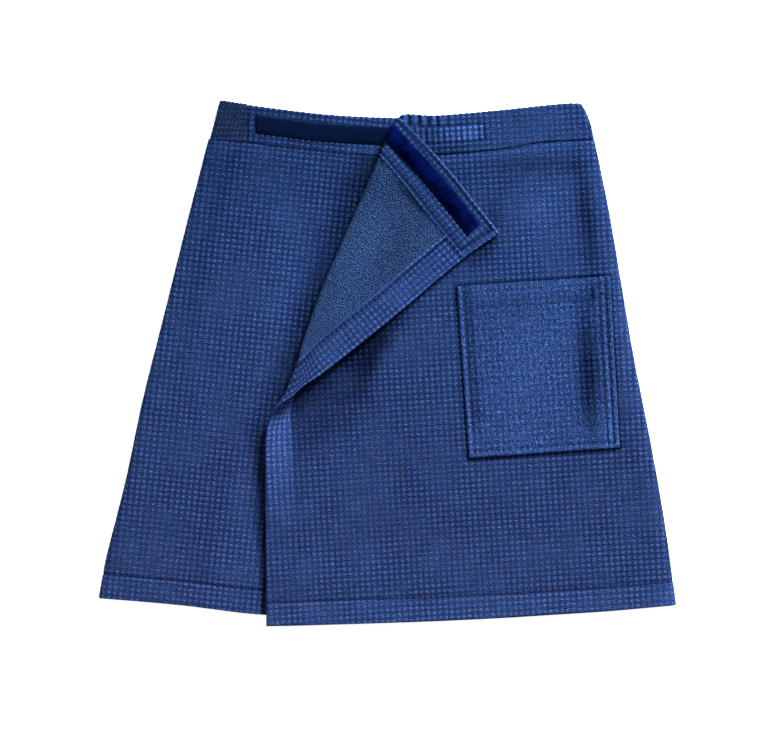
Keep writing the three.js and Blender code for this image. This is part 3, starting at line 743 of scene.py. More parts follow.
# The underlap panel: the left front, of the same velour. It lies on the back and runs from the left
# side fold to a free edge that the overlap hides, and its hem is turned up and stitched.
underlap_free_edge = smooth_curve(y=(-267.0, 0.0, 280.0), x=(118.0, 130.0, 144.0))
underlap_hem = smooth_curve(
    x=(-313.4, -225.6, -138.6, -30.0, 118.0),
    y=(-254.4, -262.0, -272.2, -275.5, -267.0))
SIDE_PUFF_WIDTH = 34.0
UNDERLAP_GRAIN = -6.0
LAYER_GAP = 0.6
HEM_SPREAD = 50.0


def drape(x, y):
    """Slow unevenness of cloth that was smoothed out by hand, the same through all the front layers:
    a few waves of different lengths and directions, added up and kept above zero."""
    waves = (0.5 * np.sin(x / 31 + 0.6 + 0.5 * np.sin(y / 57)) * np.sin(y / 83 + 1.1)
             + 0.35 * np.sin(x / 17.5 - y / 64 + 2.0) * np.sin(y / 39 + 0.4)
             + 0.3 * np.sin(y / 23 + x / 71 + 0.9))
    return 0.45 * (waves + 1.15)


def near_hem(hem, x, y):
    return fade(y - hem(x), HEM_WIDTH + 4, HEM_WIDTH + HEM_SPREAD)


def underlap_level(x, y):
    """Height of the middle of one layer of cloth, just under the outer face."""
    hems = near_hem(back_hem, x, y) + near_hem(underlap_hem, x, y)
    over_back = CLOTH + LAYER_GAP + CLOTH_HALF + HEM_RISE * hems
    flat = mix(over_back, BAND + LAYER_GAP + BAND_HALF, near_band(left_seam, x, y))
    at_fold = side_split(left_seam, x, y) + SIDE_FOLD_RADIUS
    return mix(flat, at_fold, fade(x - left_side(y), 6, SIDE_PUFF_WIDTH))


def underlap_place(x, y, offset):
    """Places a point of the underlap, offset above its level. Past the start of the side fold it
    goes down round a quarter turn."""
    past, side = past_side(x, y, SIDE_FOLD_RADIUS + CLOTH_HALF)
    past = np.where(side < 0, past, 0)
    turn = past / SIDE_FOLD_RADIUS
    flat_x = x + past
    level = underlap_level(flat_x, y) + drape(flat_x, y) * np.clip(1 - past, 0, 1)
    reach = SIDE_FOLD_RADIUS + offset
    return stack(flat_x - reach * np.sin(turn), y, level - SIDE_FOLD_RADIUS + reach * np.cos(turn))


def groove(distance, width, depth, along=0.0):
    """A stitched-in line: a rounded trough with a slight puff on either side of it, uneven along it
    because each stitch draws the cloth in."""
    t = distance / width
    puff = 0.45 + 0.3 * np.sin(along / 1.7 + 1.5 * np.sin(along / 23))
    return -depth * np.exp(-t * t) + puff * depth * np.exp(-((np.abs(t) - 1.9) ** 2))


underlap_cut = Cut(
    left=lambda y: left_side(y) + SIDE_FOLD_RADIUS + CLOTH_HALF - FOLD_ARC,
    right=underlap_free_edge, top=lambda x: left_seam(x) + SEAM_TUCK, bottom=underlap_hem,
    box=(-316, 146, -278, 244), grain=UNDERLAP_GRAIN, free="bottom right top")


def underlap_face(x, y):
    relief = TUFT_HEIGHT * (1 - tufts(*underlap_cut.cloth_way(x, y)))
    hem_line = groove(y - underlap_hem(x) - HEM_WIDTH, 2.0, 0.7, x)
    near = underlap_cut.near(x, y)
    return CLOTH_HALF * rounded(near, 1.4) - relief * np.clip(near / 2.5, 0.3, 1) + hem_line


def underlap_inner(x, y):
    return CLOTH_HALF - panel_thickness(underlap_hem, x, y)


def spots(x, y, **table):
    """A sum of soft oval spots, one for each row of the table: strength times the bell curve of the
    distance from (at_x, at_y), in units of length along the turn in degrees and width across it."""
    at_x, at_y, turn, length, width, strength = (
        np.array(table[key], float).reshape(-1, *(1,) * np.ndim(x))
        for key in ("at_x", "at_y", "turn", "length", "width", "strength"))
    along = (x - at_x) * np.cos(np.radians(turn)) + (y - at_y) * np.sin(np.radians(turn))
    across = (y - at_y) * np.cos(np.radians(turn)) - (x - at_x) * np.sin(np.radians(turn))
    return (strength * np.exp(-(along / length) ** 2 - (across / width) ** 2)).sum(axis=0)


def underlap_brushed(x, y):
    """Painted light and shade: a painted shadow along the overlap's crease and free edge, darker
    towards the band and close to the left side, lighter in the hem, and painted light and shade of
    soft folds in long bands down the panel."""
    crease_x = np.interp(y, (-270.0, -75.0, -40.0, 30.0, 265.0), (-134.0, -133.0, -116.0, -88.0, 10.0))
    reach = np.interp(y, (-260, -205, -180, -140, -95, -50, 30, 190), (6, 10, 16, 20, 27, 36, 38, 46))
    strength = np.interp(y, (-120.0, -60.0, 120.0, 200.0), (0.58, 0.46, 0.38, 0.32))
    # painted shadow cast by the overlap's crease and raised free edge
    painted_shadow_of_overlap = strength * fade(crease_x - x, 0.25 * reach, reach)
    hem = 0.16 * fade(y - underlap_hem(x), HEM_WIDTH - 3, HEM_WIDTH + 1)
    high = 0.12 * fade(-y, -215, -60)
    # spots: painted light and shade of soft folds in the cloth
    return 1 - painted_shadow_of_overlap + hem - high - 0.1 * fade(x - left_side(y), 4, 16) + spots(
        x, y,
        at_x=(-200, -176, -118, -66, -60, -46, -150, -95, -150, -185),
        at_y=(110, -120, 60, -120, 110, 204, 215, -225, -150, 195),
        turn=(76, 76, 84, 86, 68, 20, 0, 3, 80, 80),
        length=(120, 110, 150, 90, 130, 36, 46, 90, 110, 40),
        width=(12, 12, 20, 16, 10, 20, 9, 9, 24, 22),
        strength=(-0.2, -0.08, 0.12, -0.05, -0.10, -0.04, -0.06, 0.12, 0.16, -0.08))


underlap_panel = cloth_wall(
    "underlap_velour", underlap_cut, underlap_place, underlap_face, underlap_inner, VELOUR,
    inside=inner_points(underlap_cut, spacing=9), wrong=lambda x, y: y > underlap_hem(x) + HEM_WIDTH,
    sewn=lambda x, y: y - underlap_hem(x) - HEM_WIDTH, brushed=underlap_brushed)
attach(underlap_panel, "root")
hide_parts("underlap_panel")
hem_x = np.linspace(-303, 112, 300)
stitches("underlap_hem_stitches", underlap_place, underlap_face, 1, [
    (hem_x, underlap_hem(hem_x) + HEM_WIDTH)])

# The back waistband: a doubled strip with elastic in it, so its cloth is gathered finer. It runs
# along the back and round the left side fold, and is joined to the underlap's band at the front.
BAND_JOIN_X = -151.6
GATHERED_PITCH = (4.5, 5.86)
band_fold_inset = SIDE_FOLD_RADIUS + BAND_HALF
half_turn = math.pi * SIDE_FOLD_RADIUS
underlap_top = smooth_curve(
    x=(-182.8, -138.6, -69.0, 0.5, 70.0, 144.0),
    y=(284.6, 278.3, 269.8, 266.0, 265.6, 274.0))
back_top = smooth_curve(x=(-182.8, -103.8, 0.0, 122.3, 207.0), y=(284.6, 272.6, 264.5, 271.0, 281.5))
BAND_MIDDLE_Y = 263.0


def scalloped(curve, size=0.8, pitch=TUFT_PITCH[0]):
    """An edge that each tuft pushes out in a small bump, so that it dips by size between them."""
    return lambda along: curve(along) + size * (np.abs(np.sin(np.pi * along / pitch)) - 0.6)


fold_start_x = float(left_side(BAND_MIDDLE_Y)) + band_fold_inset


def band_back_curve(front, back):
    """An edge of the back band by distance round it: the front curve before the side fold's middle,
    and the back curve after it."""
    def at(around):
        x = fold_start_x + np.where(around < 0, -around, np.maximum(around - half_turn, 0))
        return np.where(around < half_turn / 2, front(x), back(x))
    return at


def band_back_place(around, y, offset):
    """Places a point of the back band. around is the distance round it from the start of the left
    side fold: less than 0 lies on the front, then comes half a turn, and the rest lies on the
    surface, up to the quarter turn of the right side fold."""
    fold_x = left_side(y) + band_fold_inset
    front_x = fold_x - np.minimum(around, 0)
    turn = np.clip(around / SIDE_FOLD_RADIUS, 0, math.pi)
    reach = SIDE_FOLD_RADIUS + offset
    level = underlap_level(front_x, y) + drape(front_x, y) * np.clip(-around / 20, 0, 1)
    folded = stack(front_x - reach * np.sin(turn), y, level - SIDE_FOLD_RADIUS + reach * np.cos(turn))
    back_x = fold_x + np.maximum(around - half_turn, 0)
    past = np.maximum(back_x - (right_side(y) - band_fold_inset), 0)
    rise = past / SIDE_FOLD_RADIUS
    laid = stack(back_x - past + reach * np.sin(rise), y,
                 BAND_HALF + SIDE_FOLD_RADIUS - reach * np.cos(rise))
    return np.where((around > half_turn)[..., None], laid, folded)


band_back_cut = Cut(
    left=lambda y: left_side(y) + band_fold_inset - BAND_JOIN_X + SEAM_GAP / 2,
    right=lambda y: half_turn + right_side(y) - left_side(y) - 2 * band_fold_inset + FOLD_ARC,
    top=scalloped(band_back_curve(underlap_top, back_top), 0.7, GATHERED_PITCH[0]),
    bottom=band_back_curve(left_seam, back_seam),
    box=(-45, 425, 220, 290), pitch=GATHERED_PITCH, per_tuft=3, free="left top bottom")


def band_back_face(around, y):
    gathers = 0.35 * (1 - np.sin(around / 1.9 + 0.8 * np.sin(y / 13) + 1.3 * np.sin(around / 11)))
    relief = 0.6 * (1 - tufts(*band_back_cut.cloth_way(around, y), GATHERED_PITCH)) + gathers
    near = band_back_cut.near(around, y)
    return BAND_HALF * rounded(near, BAND_HALF) - relief * np.clip(near / 3, 0.3, 1)


def band_back_inner(around, y):
    return -BAND_HALF * rounded(band_back_cut.near(around, y), BAND_HALF)


BAND_VELOUR = velour("gathered band velour", groove=(0.0068, 0.0122, 0.0350),
                     body=(0.0108, 0.0182, 0.0530), bright=(0.0290, 0.0430, 0.110),
                     pitch=GATHERED_PITCH)
band_back = cloth_wall(
    "back_band_velour", band_back_cut, band_back_place, band_back_face, band_back_inner, BAND_VELOUR)
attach(band_back, "root")
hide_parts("band_back")

# The underlap's waistband: the same velour, doubled over, with a seam at the bottom. It starts at
# the join with the back band and ends at the hidden free edge.
band_underlap_cut = Cut(
    left=lambda y: BAND_JOIN_X + SEAM_GAP / 2 + 0 * y, right=underlap_free_edge,
    top=scalloped(underlap_top), bottom=left_seam,
    box=(-156, 146, 220, 284), grain=UNDERLAP_GRAIN, free="left right top bottom")


def band_underlap_place(x, y, offset):
    return stack(x, y, underlap_level(x, y) + drape(x, y) + offset)


def band_wall_face(cut, x, y, half, height):
    """A doubled band's face: rounded at its folded edges and raised in tufts."""
    near = cut.near(x, y)
    relief = height * (1 - tufts(*cut.cloth_way(x, y)))
    return half * rounded(near, half) - relief * np.clip(near / 2.5, 0.35, 1)


BAND_JOIN_STITCH = 4.4


def band_underlap_face(x, y):
    join_line = groove(x - BAND_JOIN_X - BAND_JOIN_STITCH, 0.9, 0.4)
    return band_wall_face(band_underlap_cut, x, y, BAND_HALF, TUFT_HEIGHT) + join_line


def band_underlap_inner(x, y):
    return -BAND_HALF * rounded(band_underlap_cut.near(x, y), BAND_HALF)


band_underlap = cloth_wall(
    "underlap_band_velour", band_underlap_cut, band_underlap_place, band_underlap_face,
    band_underlap_inner, VELOUR, inside=inner_points(band_underlap_cut, spacing=8),
    brushed=lambda x, y: 0.72 + 0.2 * fade(-x, 30, 110))
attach(band_underlap, "root")
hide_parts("band_underlap")
join_y = np.linspace(241, 277, 20)
stitches("band_join_stitches", band_underlap_place, band_underlap_face, 1, [
    (BAND_JOIN_X + BAND_JOIN_STITCH, join_y)])

# The hook tape: dark navy woven tape with short stiff hooks, sewn flat on the outside of the
# underlap's band. It has a plain woven edge on each side of the rows of hooks.
TAPE = 1.4
TAPE_WIDTH = 19.0
TAPE_BELOW_TOP = 10.5
SEWN_GAP = 0.4
HOOK_ENDS = (-142.5, 85.0)
TAPE_GRID = (1.6, 1.6)


def tape_cut(top, ends):
    return Cut(
        left=lambda y: ends[0] + 0 * y, right=lambda y: ends[1] + 0 * y,
        top=lambda x: top(x) - TAPE_BELOW_TOP, bottom=lambda x: top(x) - TAPE_BELOW_TOP - TAPE_WIDTH,
        box=(ends[0] - 3, ends[1] + 3, 230, 275), pitch=TAPE_GRID, per_tuft=1,
        free="left right top bottom")


hook_cut = tape_cut(underlap_top, HOOK_ENDS)

# How far from the middle of its band a tape starts: a little under the tops of the tufts
TAPE_FOOT = BAND_HALF - 0.15


def hook_face(x, y):
    """A woven edge 2 mm wide, a stitched line inside it, and the raised field of hooks."""
    near = hook_cut.near(x, y)
    return TAPE_FOOT + SEWN_GAP + 0.55 + 0.75 * (1 - fade(near, 1.8, 3.4)) - 0.4 * fade(near, 0, 0.9)


def hook_foot(x, y):
    return TAPE_FOOT + 0 * x


hook_material, tree, shader = cloth_material("hook tape", 0.75, specular=0.01)
where = cloth_way_node(tree)
hook_rows = tree.nodes.new("ShaderNodeTexVoronoi")
hook_rows.inputs["Scale"].default_value = 900.0
tree.links.new(where, hook_rows.inputs["Vector"])
hook_dots = ramp_node(tree, hook_rows.outputs["Distance"], 0.1, 0.7)
hook_colour = mix_colour(tree, hook_dots, (0.0016, 0.0070, 0.031), (0.0006, 0.0034, 0.017))
tree.links.new(hook_colour, shader.inputs["Base Color"])
bump_node(tree, shader, hook_dots, 0.0006)
hook_tape = cloth_wall(
    "hook_tape_woven", hook_cut, band_underlap_place, hook_face, hook_foot, hook_material,
    inside=inner_points(hook_cut, spacing=6))
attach(hook_tape, "root")
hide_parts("hook_tape")
TAPE_MARGIN = 1.5


def tape_outline(top, ends):
    """Four lines of stitching, just in from the sides of a tape."""
    x = np.linspace(ends[0] + TAPE_MARGIN, ends[1] - TAPE_MARGIN, 200)
    high, low = TAPE_BELOW_TOP + TAPE_MARGIN, TAPE_BELOW_TOP + TAPE_WIDTH - TAPE_MARGIN
    below = np.linspace(high, low, 12)
    return [(x, top(x) - high), (x, top(x) - low),
            (x[0], top(x[0]) - below), (x[-1], top(x[-1]) - below)]


stitches("hook_tape_stitches", band_underlap_place, hook_face, 1,
         tape_outline(underlap_top, HOOK_ENDS), sink=0.1, thread="navy")

# The overlap panel: the right front. Its free edge is turned back inside and it is hemmed below.
# The upper corner is folded back along a diagonal crease, so its knitted wrong side shows.
FACING = 1.6
FACING_WIDTH = 32.0
LOOP_ENDS = (-139.4, 107.0)
OVERLAP_GRAIN = 3.4
ROLL_RADIUS = (4.4, 5.6)
ROLL_OPENING = 3.4
CREASE_TOP = np.array([16.6, 267.3])
CREASE_BOTTOM = np.array([-122.5, -50.1])
FLAP_SETTLE = 115.0
FLAP_CLEARANCE = 3.2
EDGE_LIFT = dict(height=8.0, hinge=31.0, soft=5.0, top=-40.0, bottom=-210.0)
overlap_free_edge = smooth_curve(
    y=(-284.4, -83.7, -10.0, 104.2, 217.0, 264.4),
    x=(-131.0, -133.6, -142.0, -150.4, -154.6, -160.6))
overlap_hem = smooth_curve(
    x=(-131.0, -51.6, 70.1, 226.6, 313.4),
    y=(-284.4, -282.6, -278.3, -269.6, -262.0))
overlap_top = smooth_curve(
    x=(-160.6, -80.0, -15.0, 20.0, 52.7, 122.3, 191.9, 207.0),
    y=(264.4, 269.5, 269.6, 269.4, 267.8, 273.9, 281.3, 281.5))
crease_length = float(np.hypot(*(CREASE_BOTTOM - CREASE_TOP)))
crease_way = (CREASE_BOTTOM - CREASE_TOP) / crease_length
corner_way = np.array([crease_way[1], -crease_way[0]])

# How far the lower end of the crease is drawn to the right of the straight line, by height
crease_draw = smooth_curve(
    y=(-300.0, -150.0, -95.0, -72.0, -60.0, -48.0, -36.0, -22.0, 0.0, 20.0, 45.0, 80.0, 110.0, 300.0),
    x=(0.0, 0.0, 1.0, 3.6, 7.8, 12.4, 15.4, 14.0, 9.5, 5.6, 3.0, 0.4, 0.0, 0.0))


def overlap_level(x, y):
    """Height of the middle of one layer of cloth. It lies on the underlap, then on the back, over
    the facing and the tapes, and rises to the side fold. Its free edge stands up in a straight
    slope from a soft hinge, most below the crease."""
    on_underlap = fade(x - underlap_free_edge(y), 6, 66)
    hems = near_hem(back_hem, x, y) + near_hem(overlap_hem, x, y)
    over_back = CLOTH + LAYER_GAP + CLOTH_HALF + HEM_RISE * hems
    on_front = CLOTH + LAYER_GAP + HEM_RISE * near_hem(underlap_hem, x, y)
    from_edge = x - overlap_free_edge(y)
    on_facing = (FACING + SEWN_GAP) * fade(from_edge, FACING_WIDTH + 3, FACING_WIDTH + 30)
    on_tapes = (TAPE + SEWN_GAP) * (fade(x, HOOK_ENDS[1] + 1, HOOK_ENDS[1] + 14)
                                    + fade(x, LOOP_ENDS[1] + 1, LOOP_ENDS[1] + 16))
    band = BAND + LAYER_GAP + BAND_HALF + on_underlap * (BAND + LAYER_GAP) + on_tapes
    panel = over_back + on_underlap * on_front + on_facing
    flat = mix(panel, band, near_band(right_seam, x, y))
    at_fold = side_split(right_seam, x, y) + SIDE_FOLD_RADIUS
    level = mix(flat, at_fold, fade(right_side(y) - x, 6, SIDE_PUFF_WIDTH))
    inside_hinge = EDGE_LIFT["hinge"] - from_edge
    slope = (np.sqrt(inside_hinge ** 2 + EDGE_LIFT["soft"] ** 2) + inside_hinge) / 2 / EDGE_LIFT["hinge"]
    along = fade(EDGE_LIFT["top"] - y, 0, EDGE_LIFT["top"] - EDGE_LIFT["bottom"])
    return level + EDGE_LIFT["height"] * along * np.minimum(slope, 1.2)


def past_crease(x, y):
    """How far a point of the unfolded overlap lies past the crease, towards its corner."""
    return (x - CREASE_TOP[0]) * corner_way[0] + (y - CREASE_TOP[1]) * corner_way[1]


def overlap_place(x, y, offset):
    """Places a point of the unfolded overlap, offset above its level. Up to the crease it lies
    flat. Past the crease it goes round a roll of half a turn, and then it lies back over the
    panel, upside down, and settles. Past the right side fold it goes down round a quarter turn.
    Last, the lower end of the roll is drawn to the right, which crowds the cloth beside it."""
    past = past_crease(x, y)
    along = (x - CREASE_TOP[0]) * crease_way[0] + (y - CREASE_TOP[1]) * crease_way[1]
    share = np.clip(along / crease_length, 0, 1)
    radius = mix(*ROLL_RADIUS, share) + ROLL_OPENING * (1 - fade(share, 0.84, 1.0))
    past_fold, side = past_side(x, y, SIDE_FOLD_RADIUS + CLOTH_HALF)
    past_fold = np.where((side > 0) & (past < 0), past_fold, 0)
    foot_x = x - corner_way[0] * np.maximum(past, 0) - past_fold
    foot_y = y - corner_way[1] * np.maximum(past, 0)
    foot_level = overlap_level(foot_x, foot_y) + drape(foot_x, foot_y) * np.clip(1 - past_fold, 0, 1)
    drop = past_fold / SIDE_FOLD_RADIUS
    reach = SIDE_FOLD_RADIUS + offset
    flat = stack(foot_x + reach * np.sin(drop), y, foot_level - SIDE_FOLD_RADIUS + reach * np.cos(drop))
    turn = np.clip(past / radius, 0, math.pi)
    out = (radius - offset) * np.sin(turn)
    rolled = stack(foot_x + corner_way[0] * out, foot_y + corner_way[1] * out,
                   foot_level + radius - (radius - offset) * np.cos(turn))
    back = np.maximum(past - math.pi * radius, 0)
    land_x, land_y = foot_x - corner_way[0] * back, foot_y - corner_way[1] * back
    landed = overlap_level(land_x, land_y) + drape(land_x, land_y) + BAND_HALF + FLAP_CLEARANCE
    level = mix(landed, foot_level + 2 * radius, fade(back, 0, FLAP_SETTLE))
    settled = stack(land_x, land_y, level - offset)
    placed = np.where((past <= 0)[..., None], flat, np.where((back <= 0)[..., None], rolled, settled))
    edge_x = (CREASE_BOTTOM[0] + (placed[..., 1] - CREASE_BOTTOM[1]) * crease_way[0] / crease_way[1]
              + corner_way[0] * radius)
    edge_x = np.maximum(edge_x, overlap_free_edge(placed[..., 1]))
    placed[..., 0] += crease_draw(placed[..., 1]) * fade(placed[..., 0] - edge_x, 0, 32)
    return placed


overlap_cut = Cut(
    left=overlap_free_edge, right=lambda y: right_side(y) - SIDE_FOLD_RADIUS - CLOTH_HALF + FOLD_ARC,
    top=lambda x: right_seam(x) + SEAM_TUCK, bottom=overlap_hem,
    box=(-158, 316, -287, 244), grain=OVERLAP_GRAIN, free="bottom left top")
FACING_STITCH = 27.5


def overlap_face(x, y):
    """The outer face: tufts, the hem's stitched line, and the facing's stitched line."""
    near = overlap_cut.near(x, y)
    relief = TUFT_HEIGHT * (1 - tufts(*overlap_cut.cloth_way(x, y)))
    hem_line = groove(y - overlap_hem(x) - HEM_WIDTH, 2.0, 0.7, x)
    facing_line = groove(x - overlap_free_edge(y) - FACING_STITCH, 1.8, 0.5, y) * fade(y, -230, -120)
    wall = CLOTH_HALF * rounded(near, 1.4) - relief * np.clip(near / 2.5, 0.3, 1)
    return wall + hem_line + facing_line


def overlap_inner(x, y):
    return CLOTH_HALF - panel_thickness(overlap_hem, x, y) + 0.2 * fade(overlap_cut.near(x, y), 0, 1.5)


# The patch pocket's corners and edges, on the overlap
POCKET = dict(top_left=(74.8, 83.4), top_right=(241.2, 94.6),
              bottom_right=(251.8, -91.6), bottom_left=(87.9, -102.9))


def straight(start, end, asked):
    """The line through two of the pocket's corners, as x by y (asked 'y') or y by x (asked 'x')."""
    (x0, y0), (x1, y1) = POCKET[start], POCKET[end]
    if asked == "y":
        return lambda y: x0 + (x1 - x0) * (y - y0) / (y1 - y0)
    return lambda x: y0 + (y1 - y0) * (x - x0) / (x1 - x0)


pocket_edges = dict(
    left=straight("top_left", "bottom_left", "y"), right=straight("top_right", "bottom_right", "y"),
    top=straight("top_left", "top_right", "x"), bottom=straight("bottom_left", "bottom_right", "x"))
ROLL_LINES = 12


def roll_points(spacing):
    """Extra points on ROLL_LINES lines along the crease, from one side of the roll to the other."""
    along, past = (grid.ravel() for grid in np.meshgrid(
        np.arange(-60, crease_length + 60, spacing),
        np.linspace(-2, math.pi * ROLL_RADIUS[1] + 2, ROLL_LINES)))
    return (CREASE_TOP[0] + crease_way[0] * along + corner_way[0] * past,
            CREASE_TOP[1] + crease_way[1] * along + corner_way[1] * past)


# Where the folded corner's free edge starts on the panel, and the way that it runs
FLAP_RIM_START = (-102.7, -37.0)
FLAP_RIM_WAY = (0.770, 0.637)


def overlap_brushed(x, y):
    """Painted light and shade: a painted highlight down the raised edge over the facing, painted
    shadow in the hollow under the folded corner, under the band's ridge and close round the pocket,
    painted highlights on the puffs below the band, a painted sheen at the side, lighter in the hem,
    and painted light and shade of soft folds."""
    from_edge = x - overlap_free_edge(y)
    on_facing = fade(from_edge, 28.5, 31.5)
    columns = 0.76 - 0.24 * np.cos(2 * np.pi * overlap_cut.cloth_way(x, y)[0] / TUFT_PITCH[0])
    # painted highlight down the raised edge over the facing
    raised = 0.94 * on_facing * fade(-y, 70, 215) * fade(y, -40, -28) * columns
    raised = raised * (1 - 0.3 * fade(from_edge, 0, 5))
    from_x, from_y = x - FLAP_RIM_START[0], y - FLAP_RIM_START[1]
    below_flap = FLAP_RIM_WAY[1] * from_x - FLAP_RIM_WAY[0] * from_y
    along_flap = FLAP_RIM_WAY[0] * from_x + FLAP_RIM_WAY[1] * from_y
    on_body = fade(-below_flap, 12, 18)
    # painted shade under the folded corner's tip
    tip = -0.12 * np.exp(-((x + 46) / 26) ** 2 - ((y + 34) / 14) ** 2)
    # painted shadow in the hollow under the folded corner: its depth and reach along the corner's rim
    stops = (-60, -40, -18, -2, 12, 28, 58, 72, 88, 102, 118, 132, 148, 162, 190)
    start = np.interp(along_flap, stops, (60, 52, 40, 38, 38, 38, 38, 28, 22, 12, 10, 6, 5, 6, 6))
    end = np.interp(along_flap, stops, (90, 80, 72, 85, 88, 90, 90, 58, 48, 38, 34, 26, 30, 18, 18))
    deep = np.interp(along_flap, stops, (
        0, 0.12, 0.30, 0.37, 0.36, 0.28, 0.28, 0.55, 0.74, 0.78, 0.71, 0.56, 0.38, 0.25, 0))
    by_rim = 0.2 * fade(below_flap, 12, 22) * fade(along_flap, 60, 85) * fade(-along_flap, 0, 20)
    hollow = -(deep * fade(below_flap, start, end) + by_rim) * on_body
    hollow = hollow * (1 - on_facing * fade(along_flap, -16, 4))
    under_seam = right_seam(x) - y
    turned = fade(x, -20, 5)
    # painted shadow just under the band's ridge
    by_band = -mix(0.35, 0.8, turned) * fade(under_seam, 0.5 + 1.5 * turned, 2.2 + 3 * turned)
    uneven = 0.6 + 0.4 * np.cos(0.71 * x)
    # painted highlights on the puffs below the band's seam
    puffs = 0.35 * fade(np.abs(under_seam - 4.6), 0.8, 3.0) * (1 - turned) * uneven
    hem = 0.30 * fade(y - overlap_hem(x), HEM_WIDTH - 3, HEM_WIDTH + 1)
    # painted sheen near the right side fold
    side = 0.22 * fade(right_side(y) - x, 7, 24)
    outside = np.maximum.reduce([pocket_edges["left"](y) - x, pocket_edges["bottom"](x) - y,
                                 x - pocket_edges["right"](y), y - pocket_edges["top"](x)])
    # painted shadow close round the pocket's edges
    beside = -0.66 * fade(np.abs(outside), 0.9, 3.6)
    # spots: painted light and shade of soft folds in the cloth
    return 1 + raised + hollow + tip + by_band + puffs + hem + side + beside + spots(
        x, y,
        at_x=(172, 172, 212, 222, 112, 96, 20, -20, 150, 192, 256, -78, -99),
        at_y=(175, 155, 165, 130, 150, 118, -120, -200, 215, 212, 28, 139, 174),
        turn=(60, 0, 96, 96, 75, 40, 86, 88, 2, 4, 94, 66, 66),
        length=(40, 30, 60, 60, 40, 34, 90, 70, 50, 26, 100, 55, 40),
        width=(26, 20, 10, 8, 13, 12, 22, 18, 10, 10, 9, 12, 16),
        strength=(0.2, 0.05, -0.36, -0.2, -0.32, -0.28, -0.08, 0.05, -0.22, -0.2, 0.22, 0.20, -0.18))


# How far from the free edge the wrong side starts, hidden under the facing
WRONG_SIDE_INSET = 9.0
overlap_panel = cloth_wall(
    "overlap_velour", overlap_cut, overlap_place, overlap_face, overlap_inner, VELOUR,
    inside=inner_points(overlap_cut, spacing=6, extra=roll_points(spacing=5)),
    wrong=lambda x, y: (x > overlap_free_edge(y) + WRONG_SIDE_INSET) & (y > overlap_hem(x) + HEM_WIDTH),
    sewn=lambda x, y: y - overlap_hem(x) - HEM_WIDTH, brushed=overlap_brushed)
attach(overlap_panel, "root")
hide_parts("overlap_panel")
hem_x = np.linspace(-126, 303, 300)
line_y = np.linspace(-252, -58, 120)
stitches("overlap_hem_stitches", overlap_place, overlap_face, 1, [
    (hem_x, overlap_hem(hem_x) + HEM_WIDTH), (overlap_free_edge(line_y) + FACING_STITCH, line_y)])

# The facing: the overlap's own edge turned back inside in a strip, with its right side out, so the
# tufts show on the folded corner. A stitched line holds its inner edge.
facing_cut = Cut(
    left=lambda y: overlap_free_edge(y) + 0.2, right=lambda y: overlap_free_edge(y) + FACING_WIDTH,
    top=lambda x: right_seam(x) - SEAM_GAP, bottom=lambda x: overlap_hem(x) + HEM_THICKNESS,
    box=(-158, -95, -284, 222), grain=OVERLAP_GRAIN, free="left right")


def facing_foot(x, y):
    return CLOTH_HALF - panel_thickness(overlap_hem, x, y) - 0.1


def facing_face(x, y):
    """The strip's outer side, which faces the wearer: tufts, and a stitched line by its inner edge."""
    near = facing_cut.near(x, y)
    relief = 0.8 * (1 - tufts(*facing_cut.cloth_way(x, y))) * np.clip(near / 2.5, 0.3, 1)
    line = groove(overlap_free_edge(y) + FACING_STITCH - x, 1.8, 0.7, y)
    return facing_foot(x, y) - (FACING + SEWN_GAP - 0.1) * rounded(near, 1.2) + relief - line

# How many times wider than on the panels the darkened line beside the facing's stitches is
FACING_LINE = 2.2


def facing_brushed(x, y):
    """Painted highlights along the folded edge and the inner edge, painted shade in rows between the
    tufts and near the lower end of the crease, and darker along the band's seam.
    """
    from_edge = x - overlap_free_edge(y)
    # painted shade in rows between the tufts
    rows = -0.14 * np.cos(2 * np.pi * (from_edge - 3) / TUFT_PITCH[0])
    ragged = 0.75 + 0.35 * np.cos(1.9 * y) + 0.2 * np.cos(0.57 * y)
    # painted highlights along the folded edge and the inner edge
    rims = (2.0 * fade(from_edge, 0.9, 2.8) + 0.45 * fade(np.abs(from_edge - 31.0), 0.8, 2.2)) * ragged
    seam = -0.7 * fade(right_seam(x) - y, 1.0, 3.4)
    # painted shade near the lower end of the crease
    near_crease = spots(
        x, y, at_x=(-125,), at_y=(-20,), turn=(90,), length=(40,), width=(30,), strength=(-0.35,))
    return 1.20 + rows + rims + seam + near_crease


facing = cloth_wall("facing_velour", facing_cut, overlap_place, facing_face, facing_foot, VELOUR,
                    inside=inner_points(facing_cut, spacing=7, extra=roll_points(spacing=5)),
                    sewn=lambda x, y: (x - overlap_free_edge(y) - FACING_STITCH) / FACING_LINE,
                    brushed=facing_brushed)
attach(facing, "root")
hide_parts("overlap_facing")
line_y = np.linspace(-252, 212, 300)
stitches("facing_stitches", overlap_place, facing_face, -1, [
    (overlap_free_edge(line_y) + FACING_STITCH, line_y)])

# The overlap's waistband: velour doubled over, turned back with the corner at one end and round the
# side fold at the other. The sewn-on loop tape shows through it as a raised, puckered strip.
BAND_END_STITCH = 8.0
BAND_FOOT_STITCH = 4.5
BAND_TOP_STITCH = 4.0

# How many times wider than on the panels the darkened lines beside the band's stitches are
BAND_LINE = 2.4

# How far past the crease the band starts to show the stitches and the nap of its inner face
INNER_FACE_PAST = 5.0


def band_top(x):
    """The top edge, worn lower and round where the crease rolls over it."""
    return overlap_top(x) - 4.6 * np.exp(-((x - 9) / 6) ** 2)


band_overlap_cut = Cut(
    left=overlap_free_edge, right=lambda y: right_side(y) - band_fold_inset + FOLD_ARC,
    top=scalloped(band_top), bottom=right_seam,
    box=(-163, 226, 214, 286), grain=OVERLAP_GRAIN, free="left top bottom")

